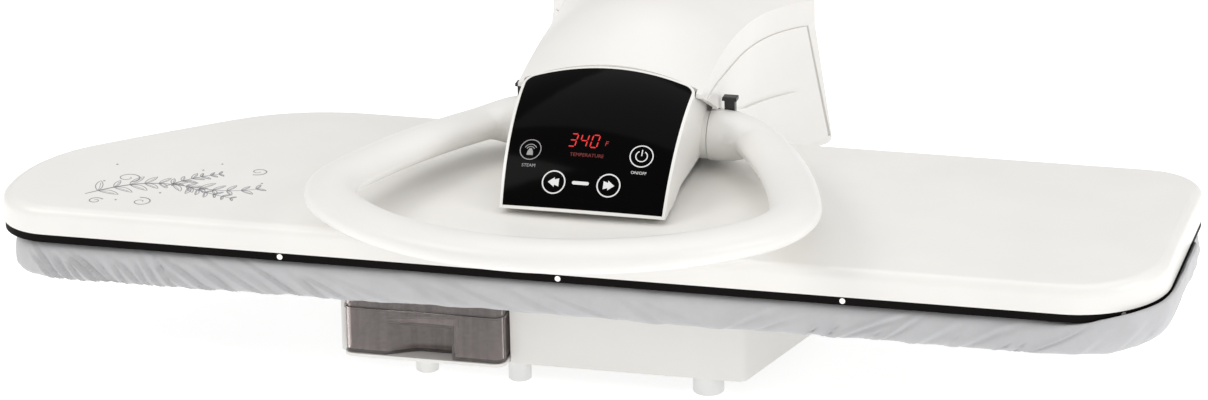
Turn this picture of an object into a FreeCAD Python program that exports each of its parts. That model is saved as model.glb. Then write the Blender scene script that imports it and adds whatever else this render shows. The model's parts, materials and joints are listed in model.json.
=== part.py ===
import FreeCAD, Part
import math
import os

V = FreeCAD.Vector
os.makedirs("parts", exist_ok=True)

# All sizes in millimetres. X runs along the board, Y from the user to the hinge, Z up from the table.

# Pressing plates: long outline with one square end and one swept nose
plate_length = 1023.0
plate_width = 292.0
plate_middle_x = -5.5
plate_front_y = -129.0
board_nose_setback = 7.5

# Nose and corners of the plates, as shares of their width
nose_length_share = 0.66
nose_side_share = 0.39
nose_tip_share = 0.17
nose_bend_share = 0.472
nose_shoulder_share = 0.565
end_front_share = 0.274
end_back_share = 0.188

# Heights of the stack, from the table up
foot_height = 18.0
base_height = 70.0
rear_deck_height = 30.0
board_bracket_height = 10.0
board_plate_thickness = 6.0
pad_thickness = 11.9
soft_gap = 0.3
cover_thickness = 1.0
press_gap = 0.4
frame_height = 7.5
frame_overhang = 0.9
casing_height = 28.0

# Upper plate
casing_wall = 3.0
casing_crown_r = 2600.0
casing_edge_r = 9.0
frame_inset = 1.0
frame_ledge_inset = 15.0
frame_mouth_inset = 22.0
fit_clearance = 0.4
plate_flange = 4.0
steam_hole_d = 4.0
steam_hole_rows = 3
steam_hole_columns = 6
steam_hole_end_margin = 30.0
steam_hole_side_margin = 18.0
heater_d = 9.0
heater_pin_length = 12.0
heater_side_margin = 46.0
heater_end_margin = 136.0
heater_start_margin = 237.0
heater_lead_margin = 97.0
chamber_inner_x = 70.0
chamber_end_margin = 151.5
chamber_side_gap = 30.0
chamber_height = 12.0
chamber_wall = 3.0
chamber_corner_r = 12.0
nipple_d = 8.0
nipple_length = 6.0
shield_inset = 20.0
shield_thickness = 1.0
shield_z_above_plate = 15.0
frame_screw_d = 5.0
frame_screw_proud = 0.5
frame_screw_sunk = 2.0
frame_screw_pitch_share = 0.241
frame_screw_corner_deg = 51.0

# Board cover and pad
cover_hem_inset = 13.0
cover_side_inset = 2.0
cover_hem_drop = 12.0
cover_edge_r = 11.0
elastic_width = 3.0
elastic_height = 4.0
elastic_rise = 1.5
pad_side_gap = 1.6
board_plate_inset = 6.0
board_plate_wall = 3.0
board_plate_skin = 2.0
board_rib_xs = (-300.0, -150.0, 110.0, 300.0)
board_bracket_xs = (-150.0, 110.0)
board_bracket_width = 40.0
board_bracket_margin = 25.0

# Base housing, seen from above
base_front_y = -75.0
base_rear_reach = 50.0
base_right_x = 143.0
base_left_x = -216.0
base_flare = 34.0
base_flare_y = 48.0
base_wall = 3.0
base_front_r = 8.0
base_left_r = 5.0
base_side_r = 60.0
base_rear_r = 22.0
base_step_margin = 19.0
base_edge_r = 3.0
vent_count = 6
vent_pitch = 9.0
vent_width = 4.0
vent_margin = 8.0
bottom_plate_thickness = 2.5
inlet_x = 110.0
inlet_width = 27.0
inlet_height = 19.0
inlet_depth = 22.0
inlet_wall = 1.5
inlet_flange = 5.0
inlet_flange_thickness = 2.0
inlet_mouth_depth = 16.0
inlet_pin_pitch = 7.0

# Pump and power board inside the base
pump_gap = 76.0
pump_y = 30.0
pump_axis_rise = 22.0
pump_d = 34.0
pump_length = 58.0
pump_head_d = 22.0
pump_head_length = 8.0
pump_foot_width = 40.0
pump_nozzle_d = 6.0
pump_nozzle_length = 26.0
power_board_length = 120.0
power_board_width = 80.0
power_board_forward = 45.0
peg_height = 6.0
peg_inset = 8.0

# Water tank, a drawer in the left of the base front
tank_left_x = -208.5
tank_width = 142.5
tank_proud = 17.0
tank_depth = 137.0
tank_height = 42.0
tank_lid_height = 13.0
tank_wall = 2.5
tank_rim = 1.0
tank_rim_height = 1.6
tank_clearance = 2.0
tank_corner_r = 8.0
tank_base_gap = 0.3
tray_thickness = 3.0
tray_lip = 2.0
filler_d = 30.0
grip_side = 45.5
grip_width = 62.0
grip_height = 29.0
grip_depth = 14.0

# Feet
foot_d = 27.0
small_foot_d = 20.0
foot_chamfer = 1.2
foot_rear_margin = 40.0

# Hinge and arm
hinge_setback = 77.0
hinge_z = 118.0
hinge_pin_d = 16.0
running_clearance = 0.05
tower_half_width = 58.0
tower_wall = 2.5
tower_depth = 62.0
tower_top_r = 32.0
tower_head = 40.0
tower_forward = 9.0
tower_lean = 14.0
bracket_thickness = 4.0
bracket_foot = 14.0
bracket_forward = 36.0
arm_plate_thickness = 3.0
arm_gap = 2.5
arm_boss_r = 24.0
arm_web_z = 222.0
arm_casing_gap = 5.5
bush_flange = 1.5
bush_wall = 3.0
hanger_pin_d = 10.0
hanger_pin_z = 170.0
hanger_length = 56.0
hanger_foot_thickness = 6.0
spring_wire_d = 4.0
spring_coil_d = 34.0
spring_turns = 6
spring_pitch = 9.0

# Hood over the arm
hood_front_y = 34.0
hood_rear_reach = 61.0
hood_wall = 3.0
hood_half_width = 82.0
hood_flare = 40.0
hood_ridge_z = 249.0
hood_ridge_margin = 12.0
hood_front_drop = 13.3
hood_rear_drop = 14.5
hood_crown_front = 13.0
hood_crown = 31.0
hood_band_front = 12.0
hood_band = 22.0
hood_draft = 0.14
hood_skirt_z = 100.0
hood_casing_gap = 6.0
hood_back_gap = 12.0
side_panel_proud = 1.5
side_panel_margin = 1.0
side_panel_gap = 0.2
rear_groove = 4.0
rear_rim = 8.0
cheek_proud = 3.0
cheek_arch_share = 0.75
rear_cover_bulge = 3.0
rear_cover_depth = 14.0

# Control head
head_half_width = 77.3
head_taper = 0.049
head_arc_y = 74.5
head_arc_z = 83.9
head_arc_r = 159.4
head_bottom_deg = 152.2
head_top_deg = 102.5
head_top_sweep_deg = 3.5
head_bulge_bottom = 3.0
head_bulge_middle = 5.0
head_bulge_top = 10.0
head_tray_depth = 20.0
head_rim = 2.6
glass_thickness = 2.7
glass_sunk = 0.3
glass_gap = 0.25
head_web = 3.0
neck_half_width = 66.2
neck_wall = 2.0
neck_behind_pivot = 28.0
head_shoulder_r = 8.0
head_shoulder_inset = 1.0
glass_corner_r = 10.0
head_casing_gap = 3.5
display_width = 66.0
display_height = 30.0
display_depth = 6.0
board_width = 100.0
board_length = 46.0
circuit_board_thickness = 1.6

# Handle: a flat loop of four tangent arcs each side, as radius and turn in degrees from the front
handle_arcs = ((225.0, 53.0), (98.0, 51.0), (620.0, 17.0), (40.0, 59.0))
handle_pivot_y = 83.0
handle_pivot_z = 182.0
handle_rise_deg = 3.3
handle_half_width = 22.0
handle_half_height = 13.5
handle_boss_r = 22.5
elbow_sections = 6
elbow_lead_deg = 0.3
elbow_step = 0.05
handle_side_gap = 0.7
handle_recess_gap = 0.8
hub_r = 21.5
hub_reach = 12.0
handle_pin_d = 12.0
handle_pin_depth = 18.0
lock_tab_width = 13.0
lock_tab_stem = 9.2
lock_tab_length = 9.0
lock_tab_from_root = 14.5
lock_tab_y = 9.0
lock_tab_cap = 3.5
lock_tab_height = 11.0
lock_tab_root = 10.0
lock_tab_clearance = 0.3

# Heights that follow from the stack
base_floor_z = foot_height
base_top_z = base_floor_z + base_height
rear_deck_z = base_floor_z + rear_deck_height
board_z = base_top_z + board_bracket_height
pad_z = board_z + board_plate_thickness
pad_top_z = pad_z + pad_thickness
cover_top_z = pad_top_z + soft_gap + cover_thickness
plate_face_z = cover_top_z + press_gap
frame_z = plate_face_z + frame_overhang
casing_z = frame_z + frame_height
casing_top_z = casing_z + casing_height
plate_left_x = plate_middle_x - plate_length / 2
plate_right_x = plate_middle_x + plate_length / 2
plate_back_y = plate_front_y + plate_width
plate_mid_y = plate_front_y + plate_width / 2

# Places that follow from the plates
end_front_r = end_front_share * plate_width
end_back_r = end_back_share * plate_width
frame_screw_pitch = frame_screw_pitch_share * plate_length
heater_turn_r = plate_width / 2 - heater_side_margin
chamber_length = plate_length / 2 - chamber_end_margin - chamber_inner_x
chamber_width = 2 * (heater_turn_r - chamber_side_gap)
steam_hole_pitch_x = (chamber_length - 2 * steam_hole_end_margin) / (steam_hole_columns - 1)
steam_hole_pitch_y = (chamber_width - 2 * steam_hole_side_margin) / (steam_hole_rows - 1)
base_step_y = plate_back_y - base_step_margin
hinge_y = plate_back_y + hinge_setback
base_rear_y = hinge_y + base_rear_reach
hood_rear_y = hinge_y + hood_rear_reach
hood_ridge_y = plate_back_y - hood_ridge_margin

# Feet: place in plan and diameter
feet = {
    "foot_front_right": (107.5, -58.0, foot_d),
    "foot_front_middle": (-59.0, -64.0, small_foot_d),
    "foot_front_left": (-143.0, -62.0, small_foot_d),
    "foot_rear_right": (142.0, base_rear_y - foot_rear_margin, foot_d),
    "foot_rear_left": (-214.0, base_rear_y - foot_rear_margin, foot_d),
}


def plan(z):
    return lambda a, b: V(a, b, z)


def side(x):
    return lambda a, b: V(x, a, b)


def direction(start, end):
    length = math.hypot(end[0] - start[0], end[1] - start[1])
    return (end[0] - start[0]) / length, (end[1] - start[1]) / length


def inset_corners(corners, inset):
    """Move every side of an anticlockwise outline inwards; outer corner radii shrink with it."""
    moved = []
    for i, here in enumerate(corners):
        into = direction(corners[i - 1], here)
        out = direction(here, corners[(i + 1) % len(corners)])
        turn = into[0] * out[1] - into[1] * out[0]
        first = -here[0] * into[1] + here[1] * into[0] + inset
        second = -here[0] * out[1] + here[1] * out[0] + inset
        a = (first * out[0] - second * into[0]) / turn
        b = (first * out[1] - second * into[1]) / turn
        radius = here[2] - inset if turn > 0 else here[2] + inset
        moved.append((a, b, max(radius, 0.0) if here[2] > 0 else 0.0))
    return moved


def rounded_wire(corners, place, inset=0.0):
    """Closed wire of straight sides joined by tangent arcs; corners are (a, b, radius)."""
    if inset:
        corners = inset_corners(corners, inset)
    bends = []
    for i, here in enumerate(corners):
        into = direction(corners[i - 1], here)
        out = direction(here, corners[(i + 1) % len(corners)])
        turn = math.acos(max(-1.0, min(1.0, into[0] * out[0] + into[1] * out[1])))
        reach = here[2] * math.tan(turn / 2)
        start = (here[0] - into[0] * reach, here[1] - into[1] * reach)
        end = (here[0] + out[0] * reach, here[1] + out[1] * reach)
        bulge = here[2] * (1 / math.cos(turn / 2) - 1)
        across = direction(into, out) if reach else (0.0, 0.0)
        middle = (here[0] + across[0] * bulge, here[1] + across[1] * bulge)
        bends.append((start, middle, end, reach))
    edges = []
    for i, (start, middle, end, reach) in enumerate(bends):
        before = bends[i - 1][2]
        if math.hypot(start[0] - before[0], start[1] - before[1]) > 1e-6:
            edges.append(Part.makeLine(place(*before), place(*start)))
        if reach:
            edges.append(Part.Arc(place(*start), place(*middle), place(*end)).toShape())
    return Part.Wire(edges)


def slab(corners, z0, z1, inset=0.0):
    """Upright prism over a rounded outline in plan."""
    return Part.Face(rounded_wire(corners, plan(z0), inset)).extrude(V(0, 0, z1 - z0))


def side_prism(corners, x0, x1, inset=0.0):
    """Prism along X over a rounded outline in side view."""
    return Part.Face(rounded_wire(corners, side(x0), inset)).extrude(V(x1 - x0, 0, 0))


def block(x0, x1, y0, y1, z0, z1):
    return Part.makeBox(x1 - x0, y1 - y0, z1 - z0, V(x0, y0, z0))


def rod_x(x0, x1, y, z, diameter):
    return Part.makeCylinder(diameter / 2, x1 - x0, V(x0, y, z), V(1, 0, 0))


def post(x, y, z0, z1, diameter):
    return Part.makeCylinder(diameter / 2, z1 - z0, V(x, y, z0))


def mirrored(shape):
    return shape.mirror(V(0, 0, 0), V(1, 0, 0))


def rounded_edges(shape, radius, chosen):
    return shape.makeFillet(radius, [edge for edge in shape.Edges if chosen(edge)])


def blend(start, end, share):
    """Ease smoothly from one value to another as share goes from 0 to 1."""
    share = min(max(share, 0.0), 1.0)
    return start + (end - start) * share * share * (3 - 2 * share)


# Upper plate


def plate_corners(setback=0.0):
    """Plan of the pressing plates; the board's nose is set back a little from the casing's."""
    left = plate_left_x + setback
    shoulder_x = plate_left_x + nose_length_share * plate_width
    bend_y = plate_front_y + nose_side_share * plate_width
    return [
        (left, plate_front_y, nose_tip_share * plate_width),
        (plate_right_x, plate_front_y, end_front_r),
        (plate_right_x, plate_back_y, end_back_r),
        (shoulder_x, plate_back_y, nose_shoulder_share * plate_width),
        (left, bend_y, nose_bend_share * plate_width),
    ]


def plate_slab(inset, z0, z1):
    return slab(plate_corners(), z0, z1, inset)


def board_slab(inset, z0, z1):
    return slab(plate_corners(board_nose_setback), z0, z1, inset)


def casing_body(inset, top_z, edge_r):
    """Gently crowned prism over the plate outline with a rolled upper edge."""
    body = plate_slab(inset, casing_z, top_z)
    crown = rod_x(-plate_length, plate_length, plate_mid_y, top_z - casing_crown_r, 2 * casing_crown_r)
    body = body.common(crown)
    return rounded_edges(body, edge_r, lambda e: min(v.Z for v in e.Vertexes) > casing_z + 1)


def hanger_opening():
    half_x = arm_inner_x()
    half_y = hanger_length / 2 + arm_gap
    corners = [
        (-half_x, plate_mid_y - half_y, 8.0),
        (half_x, plate_mid_y - half_y, 8.0),
        (half_x, plate_mid_y + half_y, 8.0),
        (-half_x, plate_mid_y + half_y, 8.0),
    ]
    return slab(corners, casing_z, casing_top_z + 1)


def upper_casing():
    shell = casing_body(0.0, casing_top_z, casing_edge_r)
    inside = casing_body(casing_wall, casing_top_z - casing_wall, casing_edge_r - casing_wall / 2)
    return shell.cut(inside).cut(hanger_opening())


def plate_frame():
    ring = plate_slab(frame_inset, frame_z, casing_z)
    ledge_z = casing_z - plate_flange
    ring = ring.cut(plate_slab(frame_mouth_inset, frame_z, ledge_z))
    return ring.cut(plate_slab(frame_ledge_inset, ledge_z, casing_z))


def screw_head(x, y, way_x, way_y):
    """Pan head standing out of the frame's edge along the given direction."""
    back = frame_inset + frame_screw_sunk
    start = V(x - way_x * back, y - way_y * back, frame_z + frame_height / 2)
    length = frame_screw_sunk + frame_screw_proud
    return Part.makeCylinder(frame_screw_d / 2, length, start, V(way_x, way_y, 0))


def frame_screws():
    """Screw heads in the edge of the frame, along both long sides and in the square corners."""
    places = [plate_middle_x + i * frame_screw_pitch for i in (-1, 0, 1)]
    heads = [screw_head(x, plate_front_y, 0, -1) for x in places]
    heads += [screw_head(x, plate_back_y, 0, 1) for x in places[1:]]
    angle = math.radians(frame_screw_corner_deg)
    for radius, edge_y, way in ((end_front_r, plate_front_y, -1), (end_back_r, plate_back_y, 1)):
        x = plate_right_x - radius + radius * math.cos(angle)
        y = edge_y - way * radius + way * radius * math.sin(angle)
        heads.append(screw_head(x, y, math.cos(angle), way * math.sin(angle)))
    return Part.makeCompound(heads)


def heating_plate():
    ledge_z = casing_z - plate_flange
    plate = plate_slab(frame_mouth_inset + fit_clearance, plate_face_z, ledge_z)
    plate = plate.fuse(plate_slab(frame_ledge_inset + fit_clearance, ledge_z, casing_z))
    first_x = chamber_inner_x + steam_hole_end_margin
    holes = []
    for way in (-1, 1):
        for column in range(steam_hole_columns):
            for row in range(steam_hole_rows):
                x = way * (first_x + column * steam_hole_pitch_x)
                y = plate_mid_y + (row - (steam_hole_rows - 1) / 2) * steam_hole_pitch_y
                holes.append(post(x, y, plate_face_z - 1, casing_z + 1, steam_hole_d))
    return plate.cut(Part.makeCompound(holes)).removeSplitter()


def heating_element():
    """Tubular heater laid as a long U on the plate, with its two cold pins at the nose end."""
    z = casing_z + heater_d / 2
    back = plate_mid_y + heater_turn_r
    front = plate_mid_y - heater_turn_r
    turn_x = plate_right_x - heater_end_margin
    start_x = plate_left_x + heater_start_margin
    end_x = plate_left_x + heater_lead_margin
    far = V(turn_x + heater_turn_r, plate_mid_y, z)
    path = Part.Wire([
        Part.makeLine(V(start_x, back, z), V(turn_x, back, z)),
        Part.Arc(V(turn_x, back, z), far, V(turn_x, front, z)).toShape(),
        Part.makeLine(V(turn_x, front, z), V(end_x, front, z)),
    ])
    ring = Part.Wire([Part.makeCircle(heater_d / 2, V(start_x, back, z), V(1, 0, 0))])
    tube = path.makePipeShell([ring], True, False)
    for x, y in ((start_x, back), (end_x, front)):
        tube = tube.fuse(rod_x(x - heater_pin_length, x, y, z, heater_d / 2))
    return tube


def steam_chamber():
    """Cast steam chamber over the right-hand field of holes, with its inlet nipple."""
    x1 = chamber_inner_x + chamber_length
    half = chamber_width / 2
    corners = [
        (chamber_inner_x, plate_mid_y - half, chamber_corner_r),
        (x1, plate_mid_y - half, chamber_corner_r),
        (x1, plate_mid_y + half, chamber_corner_r),
        (chamber_inner_x, plate_mid_y + half, chamber_corner_r),
    ]
    top = casing_z + chamber_height
    body = slab(corners, casing_z, top).cut(slab(corners, casing_z, top - chamber_wall, chamber_wall))
    x0 = chamber_inner_x - nipple_length
    nipple = rod_x(x0, chamber_inner_x + 1.0, plate_mid_y + half / 2, casing_z + chamber_height / 2, nipple_d)
    return body.fuse(nipple)


def heat_shield():
    z = casing_z + shield_z_above_plate
    sheet = plate_slab(shield_inset, z, z + shield_thickness)
    return sheet.cut(hanger_opening())


def hanger_ear_x():
    return tower_half_width - bracket_thickness / 2


def plate_hanger():
    """Steel saddle bolted to the plate; its two ears carry the hanger pin."""
    half_x = hanger_ear_x() + bracket_thickness / 2
    half_y = hanger_length / 2
    foot_top = casing_z + hanger_foot_thickness
    foot = block(-half_x, half_x, plate_mid_y - half_y, plate_mid_y + half_y, casing_z, foot_top)
    top = hanger_pin_z + hanger_pin_d
    profile = [
        (plate_mid_y - half_y, casing_z, 0.0),
        (plate_mid_y + half_y, casing_z, 0.0),
        (plate_mid_y + half_y, foot_top + 8.0, 10.0),
        (plate_mid_y + 14.0, top, 12.0),
        (plate_mid_y - 14.0, top, 12.0),
        (plate_mid_y - half_y, foot_top + 8.0, 10.0),
    ]
    ear = side_prism(profile, half_x - bracket_thickness, half_x)
    saddle = foot.fuse([ear, mirrored(ear)])
    return saddle.cut(rod_x(-half_x - 1, half_x + 1, plate_mid_y, hanger_pin_z, hanger_pin_d))


def hanger_pin():
    reach = arm_outer_x()
    return rod_x(-reach, reach, plate_mid_y, hanger_pin_z, hanger_pin_d)


# Board


def lofted_outlines(levels):
    """Smooth skin through the plate outline at several insets and heights."""
    corners = plate_corners(board_nose_setback)
    wires = [rounded_wire(corners, plan(z), inset) for inset, z in levels]
    return Part.makeLoft(wires, True, False)


def cover_levels(wall):
    """Side of the padded board from the hem up: tucked under, bulging, drawn in at the top."""
    hem_z = board_z - cover_hem_drop
    return [
        (cover_hem_inset + wall, hem_z),
        (cover_side_inset + 3.0 + wall, hem_z + 4.0),
        (cover_side_inset + 0.4 + wall, hem_z + 10.0),
        (cover_side_inset + wall, hem_z + 17.0),
        (cover_side_inset + 1.2 + wall, hem_z + 23.0),
        (cover_side_inset + 4.5 + wall, cover_top_z - 2.2 - wall * 0.6),
        (cover_side_inset + cover_edge_r + wall, cover_top_z - wall),
    ]


def board_cover():
    """Fitted fabric cover: closed over the top, rolled round the side and open underneath."""
    skin = lofted_outlines(cover_levels(0.0))
    inside = lofted_outlines(cover_levels(cover_thickness))
    hem_z = board_z - cover_hem_drop
    mouth = board_slab(cover_hem_inset + cover_thickness, hem_z - 1, hem_z + 1)
    return skin.cut(inside).cut(mouth)


def foam_pad():
    """Pad with a crowned top edge, drawn in where it meets the board."""
    step = pad_thickness / 4
    gap = cover_side_inset + cover_thickness + pad_side_gap
    return lofted_outlines([
        (gap + 3.5, pad_z),
        (gap + 0.6, pad_z + step),
        (gap + 0.8, pad_z + 2 * step),
        (gap + 3.4, pad_z + 3 * step),
        (gap + 14.0, pad_top_z),
    ])


def board_plate():
    """Pressed sheet board, hollow underneath with stiffening ribs across."""
    inset = cover_side_inset + board_plate_inset
    sheet = board_slab(inset, board_z, pad_z)
    inner = board_slab(inset + board_plate_wall, board_z, pad_z - board_plate_skin)
    half = board_plate_wall
    ribs = [block(x - half, x + half, plate_front_y, plate_back_y, board_z, pad_z) for x in board_rib_xs]
    return sheet.cut(inner.cut(Part.makeCompound(ribs)))


def elastic_hem():
    hem_z = board_z - cover_hem_drop
    z0 = hem_z + elastic_rise
    inset = cover_hem_inset + cover_thickness + 0.2
    outer = board_slab(inset, z0, z0 + elastic_height)
    return outer.cut(board_slab(inset + elastic_width, z0, z0 + elastic_height))


def board_bracket(x):
    """Steel channel between the base and the board."""
    y0 = base_front_y + board_bracket_margin
    y1 = plate_back_y - board_bracket_margin
    half = board_bracket_width / 2
    web = block(x - half, x + half, y0, y1, base_top_z, board_z)
    half -= bracket_thickness
    return web.cut(block(x - half, x + half, y0, y1, base_top_z + bracket_thickness, board_z))


# Base


def base_corners(rear_y):
    """Base in plan: square front, sides that flare and then run straight to the rear."""
    right = base_right_x + base_flare
    left = base_left_x - base_flare
    return [
        (base_left_x, base_front_y, base_left_r),
        (base_right_x, base_front_y, base_front_r),
        (right, base_flare_y, base_side_r),
        (right, rear_y, base_rear_r),
        (left, rear_y, base_rear_r),
        (left, base_flare_y, base_side_r),
    ]


def base_shape(z0, inset):
    """Low rear deck and tall front housing in one piece, moved in from the outside by the inset."""
    deck = slab(base_corners(base_rear_y), z0, rear_deck_z - inset, inset)
    tall = slab(base_corners(base_rear_y), z0, base_top_z - inset, inset)
    far = plate_length
    rear = block(-far, far, base_step_y - inset, far, rear_deck_z - inset, base_top_z)
    return deck.fuse(tall.cut(rear)).removeSplitter()


def tank_x1():
    return tank_left_x + tank_width


def tank_front_y():
    return base_front_y - tank_proud


def tank_rear_y():
    return tank_front_y() + tank_depth


def tray_z():
    return base_floor_z + bottom_plate_thickness


def tank_z0():
    return tray_z() + tray_thickness + tank_base_gap


def tank_bay(grow):
    """Space for the tank in the housing; grow gives the outside of the bay's own walls."""
    gap = tank_clearance + grow
    return block(
        tank_left_x - gap, tank_x1() + gap, base_front_y - 1.0, tank_rear_y() + tank_clearance * 6 + grow,
        base_floor_z - 1.0, base_top_z - base_wall + (grow and 1.0),
    )


def base_housing():
    """Moulded housing, open below, with the tank bay and a row of vents low on the right side."""
    outer = base_shape(base_floor_z, 0.0)
    outer = rounded_edges(outer, base_edge_r, lambda e: abs(e.BoundBox.ZMax - base_top_z) < 0.01
                          and e.BoundBox.ZLength < 0.01 and e.BoundBox.YMin < base_step_y - 5)
    shell = outer.cut(base_shape(base_floor_z - 1.0, base_wall))
    above_plate = block(-plate_length, plate_length, -plate_length, plate_length, tray_z(), base_top_z)
    bay = tank_bay(base_wall).common(outer).common(above_plate)
    openings = Part.makeCompound(base_vents() + [inlet_block(fit_clearance)])
    return shell.fuse(bay).cut(tank_bay(0.0)).cut(openings)


def base_vents():
    """Cooling slots through the right-hand wall of the rear deck."""
    x = base_right_x + base_flare
    vents = []
    for i in range(vent_count):
        y = base_step_y + base_step_margin + i * vent_pitch
        z0 = base_floor_z + vent_margin
        vents.append(block(x - base_wall - 2, x + 2, y, y + vent_width, z0, rear_deck_z - vent_margin))
    return vents


def base_bottom():
    """Bottom plate set inside the housing walls; it also carries the tank tray."""
    inset = base_wall + fit_clearance
    return slab(base_corners(base_rear_y), base_floor_z, tray_z(), inset)


def tank_tray():
    """Fixed floor of the tank bay, with its thin lip showing under the tank's front."""
    gap = tank_clearance - tank_rim
    x0 = tank_left_x - gap
    x1 = tank_x1() + gap
    y0 = tank_front_y() - tray_lip
    y1 = tank_rear_y() + tray_lip
    corners = [
        (x0, y0, tank_corner_r + tray_lip),
        (x1, y0, tank_corner_r + tray_lip),
        (x1, y1, 0.0),
        (x0, y1, 0.0),
    ]
    return slab(corners, tray_z(), tray_z() + tray_thickness)


def tank_box(inset, z0, z1):
    corners = [
        (tank_left_x, tank_front_y(), tank_corner_r),
        (tank_x1(), tank_front_y(), tank_corner_r),
        (tank_x1(), tank_rear_y(), tank_corner_r),
        (tank_left_x, tank_rear_y(), tank_corner_r),
    ]
    return slab(corners, z0, z1, inset)


def grip_space(grow):
    """Scooped finger recess in the tank's front: curved on the left, square on the right."""
    x1 = tank_x1() - grip_side + grow
    x0 = x1 - grip_width - 2 * grow
    y = tank_front_y()
    deep = y + grip_depth + grow
    z1 = tank_z0() + grip_height + grow
    corners = [
        (x0, y - 1, 0.0),
        (x1, y - 1, 0.0),
        (x1, deep, 3.0),
        (x0 + grip_width * 0.45, deep, 26.0),
    ]
    return slab(corners, tank_z0() - 1, z1)


def water_tank():
    """Clear tank with a rim round its open top and the finger recess moulded into the front."""
    z0 = tank_z0()
    z1 = z0 + tank_height
    outer = tank_box(0.0, z0, z1).fuse(tank_box(-tank_rim, z1 - tank_rim_height, z1)).cut(grip_space(0.0))
    inner = tank_box(tank_wall, z0 + tank_wall, z1 + 1).cut(grip_space(tank_wall))
    outlet = Part.makeCylinder(7.0, 5.0, V(tank_left_x + 40, tank_rear_y() - 1, z0 + 12), V(0, 1, 0))
    return outer.cut(inner).fuse(outlet)


def filler_place():
    return tank_left_x + tank_width / 2, tank_front_y() + 45.0


def tank_lid():
    """Deep lid that closes the tank, with the filler hole in its top."""
    z0 = tank_z0() + tank_height
    z1 = z0 + tank_lid_height
    shell = tank_box(0.0, z0, z1).cut(tank_box(tank_wall, z0, z1 - tank_wall))
    x, y = filler_place()
    return shell.cut(post(x, y, z1 - 10, z1 + 1, filler_d))


def tank_plug():
    """Filler plug: a disc seated over the hole and a shorter plug inside it."""
    z1 = tank_z0() + tank_height + tank_lid_height
    x, y = filler_place()
    return post(x, y, z1, z1 + 1.6, filler_d + 8).fuse(post(x, y, z1 - 5, z1, filler_d - 0.4))


def foot(x, y, diameter):
    body = post(x, y, 0.0, foot_height, diameter)
    return body.makeChamfer(foot_chamfer, [e for e in body.Edges if e.BoundBox.ZMax < 0.1])


def water_pump():
    """Small pump lying behind the tank bay, on a saddle foot, with its outlet standing up."""
    z0 = tray_z()
    x0 = tank_x1() + pump_gap
    z = z0 + pump_axis_rise
    body = rod_x(x0, x0 + pump_length, pump_y, z, pump_d)
    head = rod_x(x0 - pump_head_length, x0, pump_y, z, pump_head_d)
    x1 = x0 + pump_length - peg_inset
    half = pump_foot_width / 2
    foot_plate = block(x0 + peg_inset, x1, pump_y - half, pump_y + half, z0, z0 + base_wall)
    half = pump_foot_width / 4
    saddle = block(x0 + 1.5 * peg_inset, x1 - peg_inset / 2, pump_y - half, pump_y + half, z0, z - peg_inset)
    nozzle = post(x0 - pump_head_length / 2, pump_y, z, z + pump_nozzle_length, pump_nozzle_d)
    return body.fuse([head, foot_plate, saddle, nozzle])


def power_board():
    """Circuit board with its transformer, relay and capacitors."""
    z0 = tray_z()
    z1 = z0 + peg_height
    top = z1 + circuit_board_thickness
    half_x = power_board_length / 2
    y0 = hinge_y - power_board_forward
    y1 = y0 + power_board_width
    board = block(-half_x, half_x, y0, y1, z1, top)
    peg_x = half_x - peg_inset
    pegs = [post(x, y, z0, z1, peg_height) for x in (-peg_x, peg_x) for y in (y0 + peg_inset, y1 - peg_inset)]
    transformer = block(-45, -15, y0 + 10, y0 + 40, top, top + 14)
    relay = block(0, 20, y0 + 15, y0 + 31, top, top + 12)
    cans = [post(35 + 12 * i, y0 + 50, top, top + 12, 9.0) for i in range(2)]
    return board.fuse(pegs + cans + [transformer, relay])


def inlet_z():
    return (base_floor_z + rear_deck_z) / 2


def inlet_block(grow):
    """Body of the appliance inlet behind its flange."""
    half_x = inlet_width / 2 + grow
    half_z = inlet_height / 2 + grow
    x0, x1 = inlet_x - half_x, inlet_x + half_x
    y0, y1 = base_rear_y - inlet_depth, base_rear_y + grow
    return block(x0, x1, y0, y1, inlet_z() - half_z, inlet_z() + half_z)


def power_inlet():
    """Appliance inlet in the rear wall: flange, hollow mouth and three flat pins."""
    x = inlet_x
    y = base_rear_y
    z = inlet_z()
    half_x = inlet_width / 2
    half_z = inlet_height / 2
    outer_x = half_x + 1.3 * inlet_flange
    outer_z = half_z + inlet_flange / 2
    flange = block(x - outer_x, x + outer_x, y, y + inlet_flange_thickness, z - outer_z, z + outer_z)
    flange = rounded_edges(flange, 4.0, lambda e: e.BoundBox.YLength > inlet_flange_thickness - 0.1)
    half_x -= inlet_wall
    half_z -= inlet_wall
    mouth = block(x - half_x, x + half_x, y - inlet_mouth_depth, y + inlet_flange, z - half_z, z + half_z)
    pin_y = y - inlet_mouth_depth - 1
    pins = [block(x + dx - 1, x + dx + 1, pin_y, y - 2, z - 2, z + 2)
            for dx in (-inlet_pin_pitch, 0, inlet_pin_pitch)]
    return flange.fuse(inlet_block(0.0)).cut(mouth).fuse(pins)


# Hinge tower and arm


def arm_inner_x():
    return tower_half_width + arm_gap


def arm_outer_x():
    return arm_inner_x() + arm_plate_thickness


def tower_profile():
    y0 = hinge_y - tower_depth / 2 - tower_forward
    y1 = hinge_y + tower_depth / 2 - tower_forward
    top = hinge_z + tower_head
    return [
        (y0, rear_deck_z, 0.0),
        (y1, rear_deck_z, 0.0),
        (y1 + tower_lean, top, tower_top_r),
        (y0, top, tower_top_r),
    ]


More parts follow.
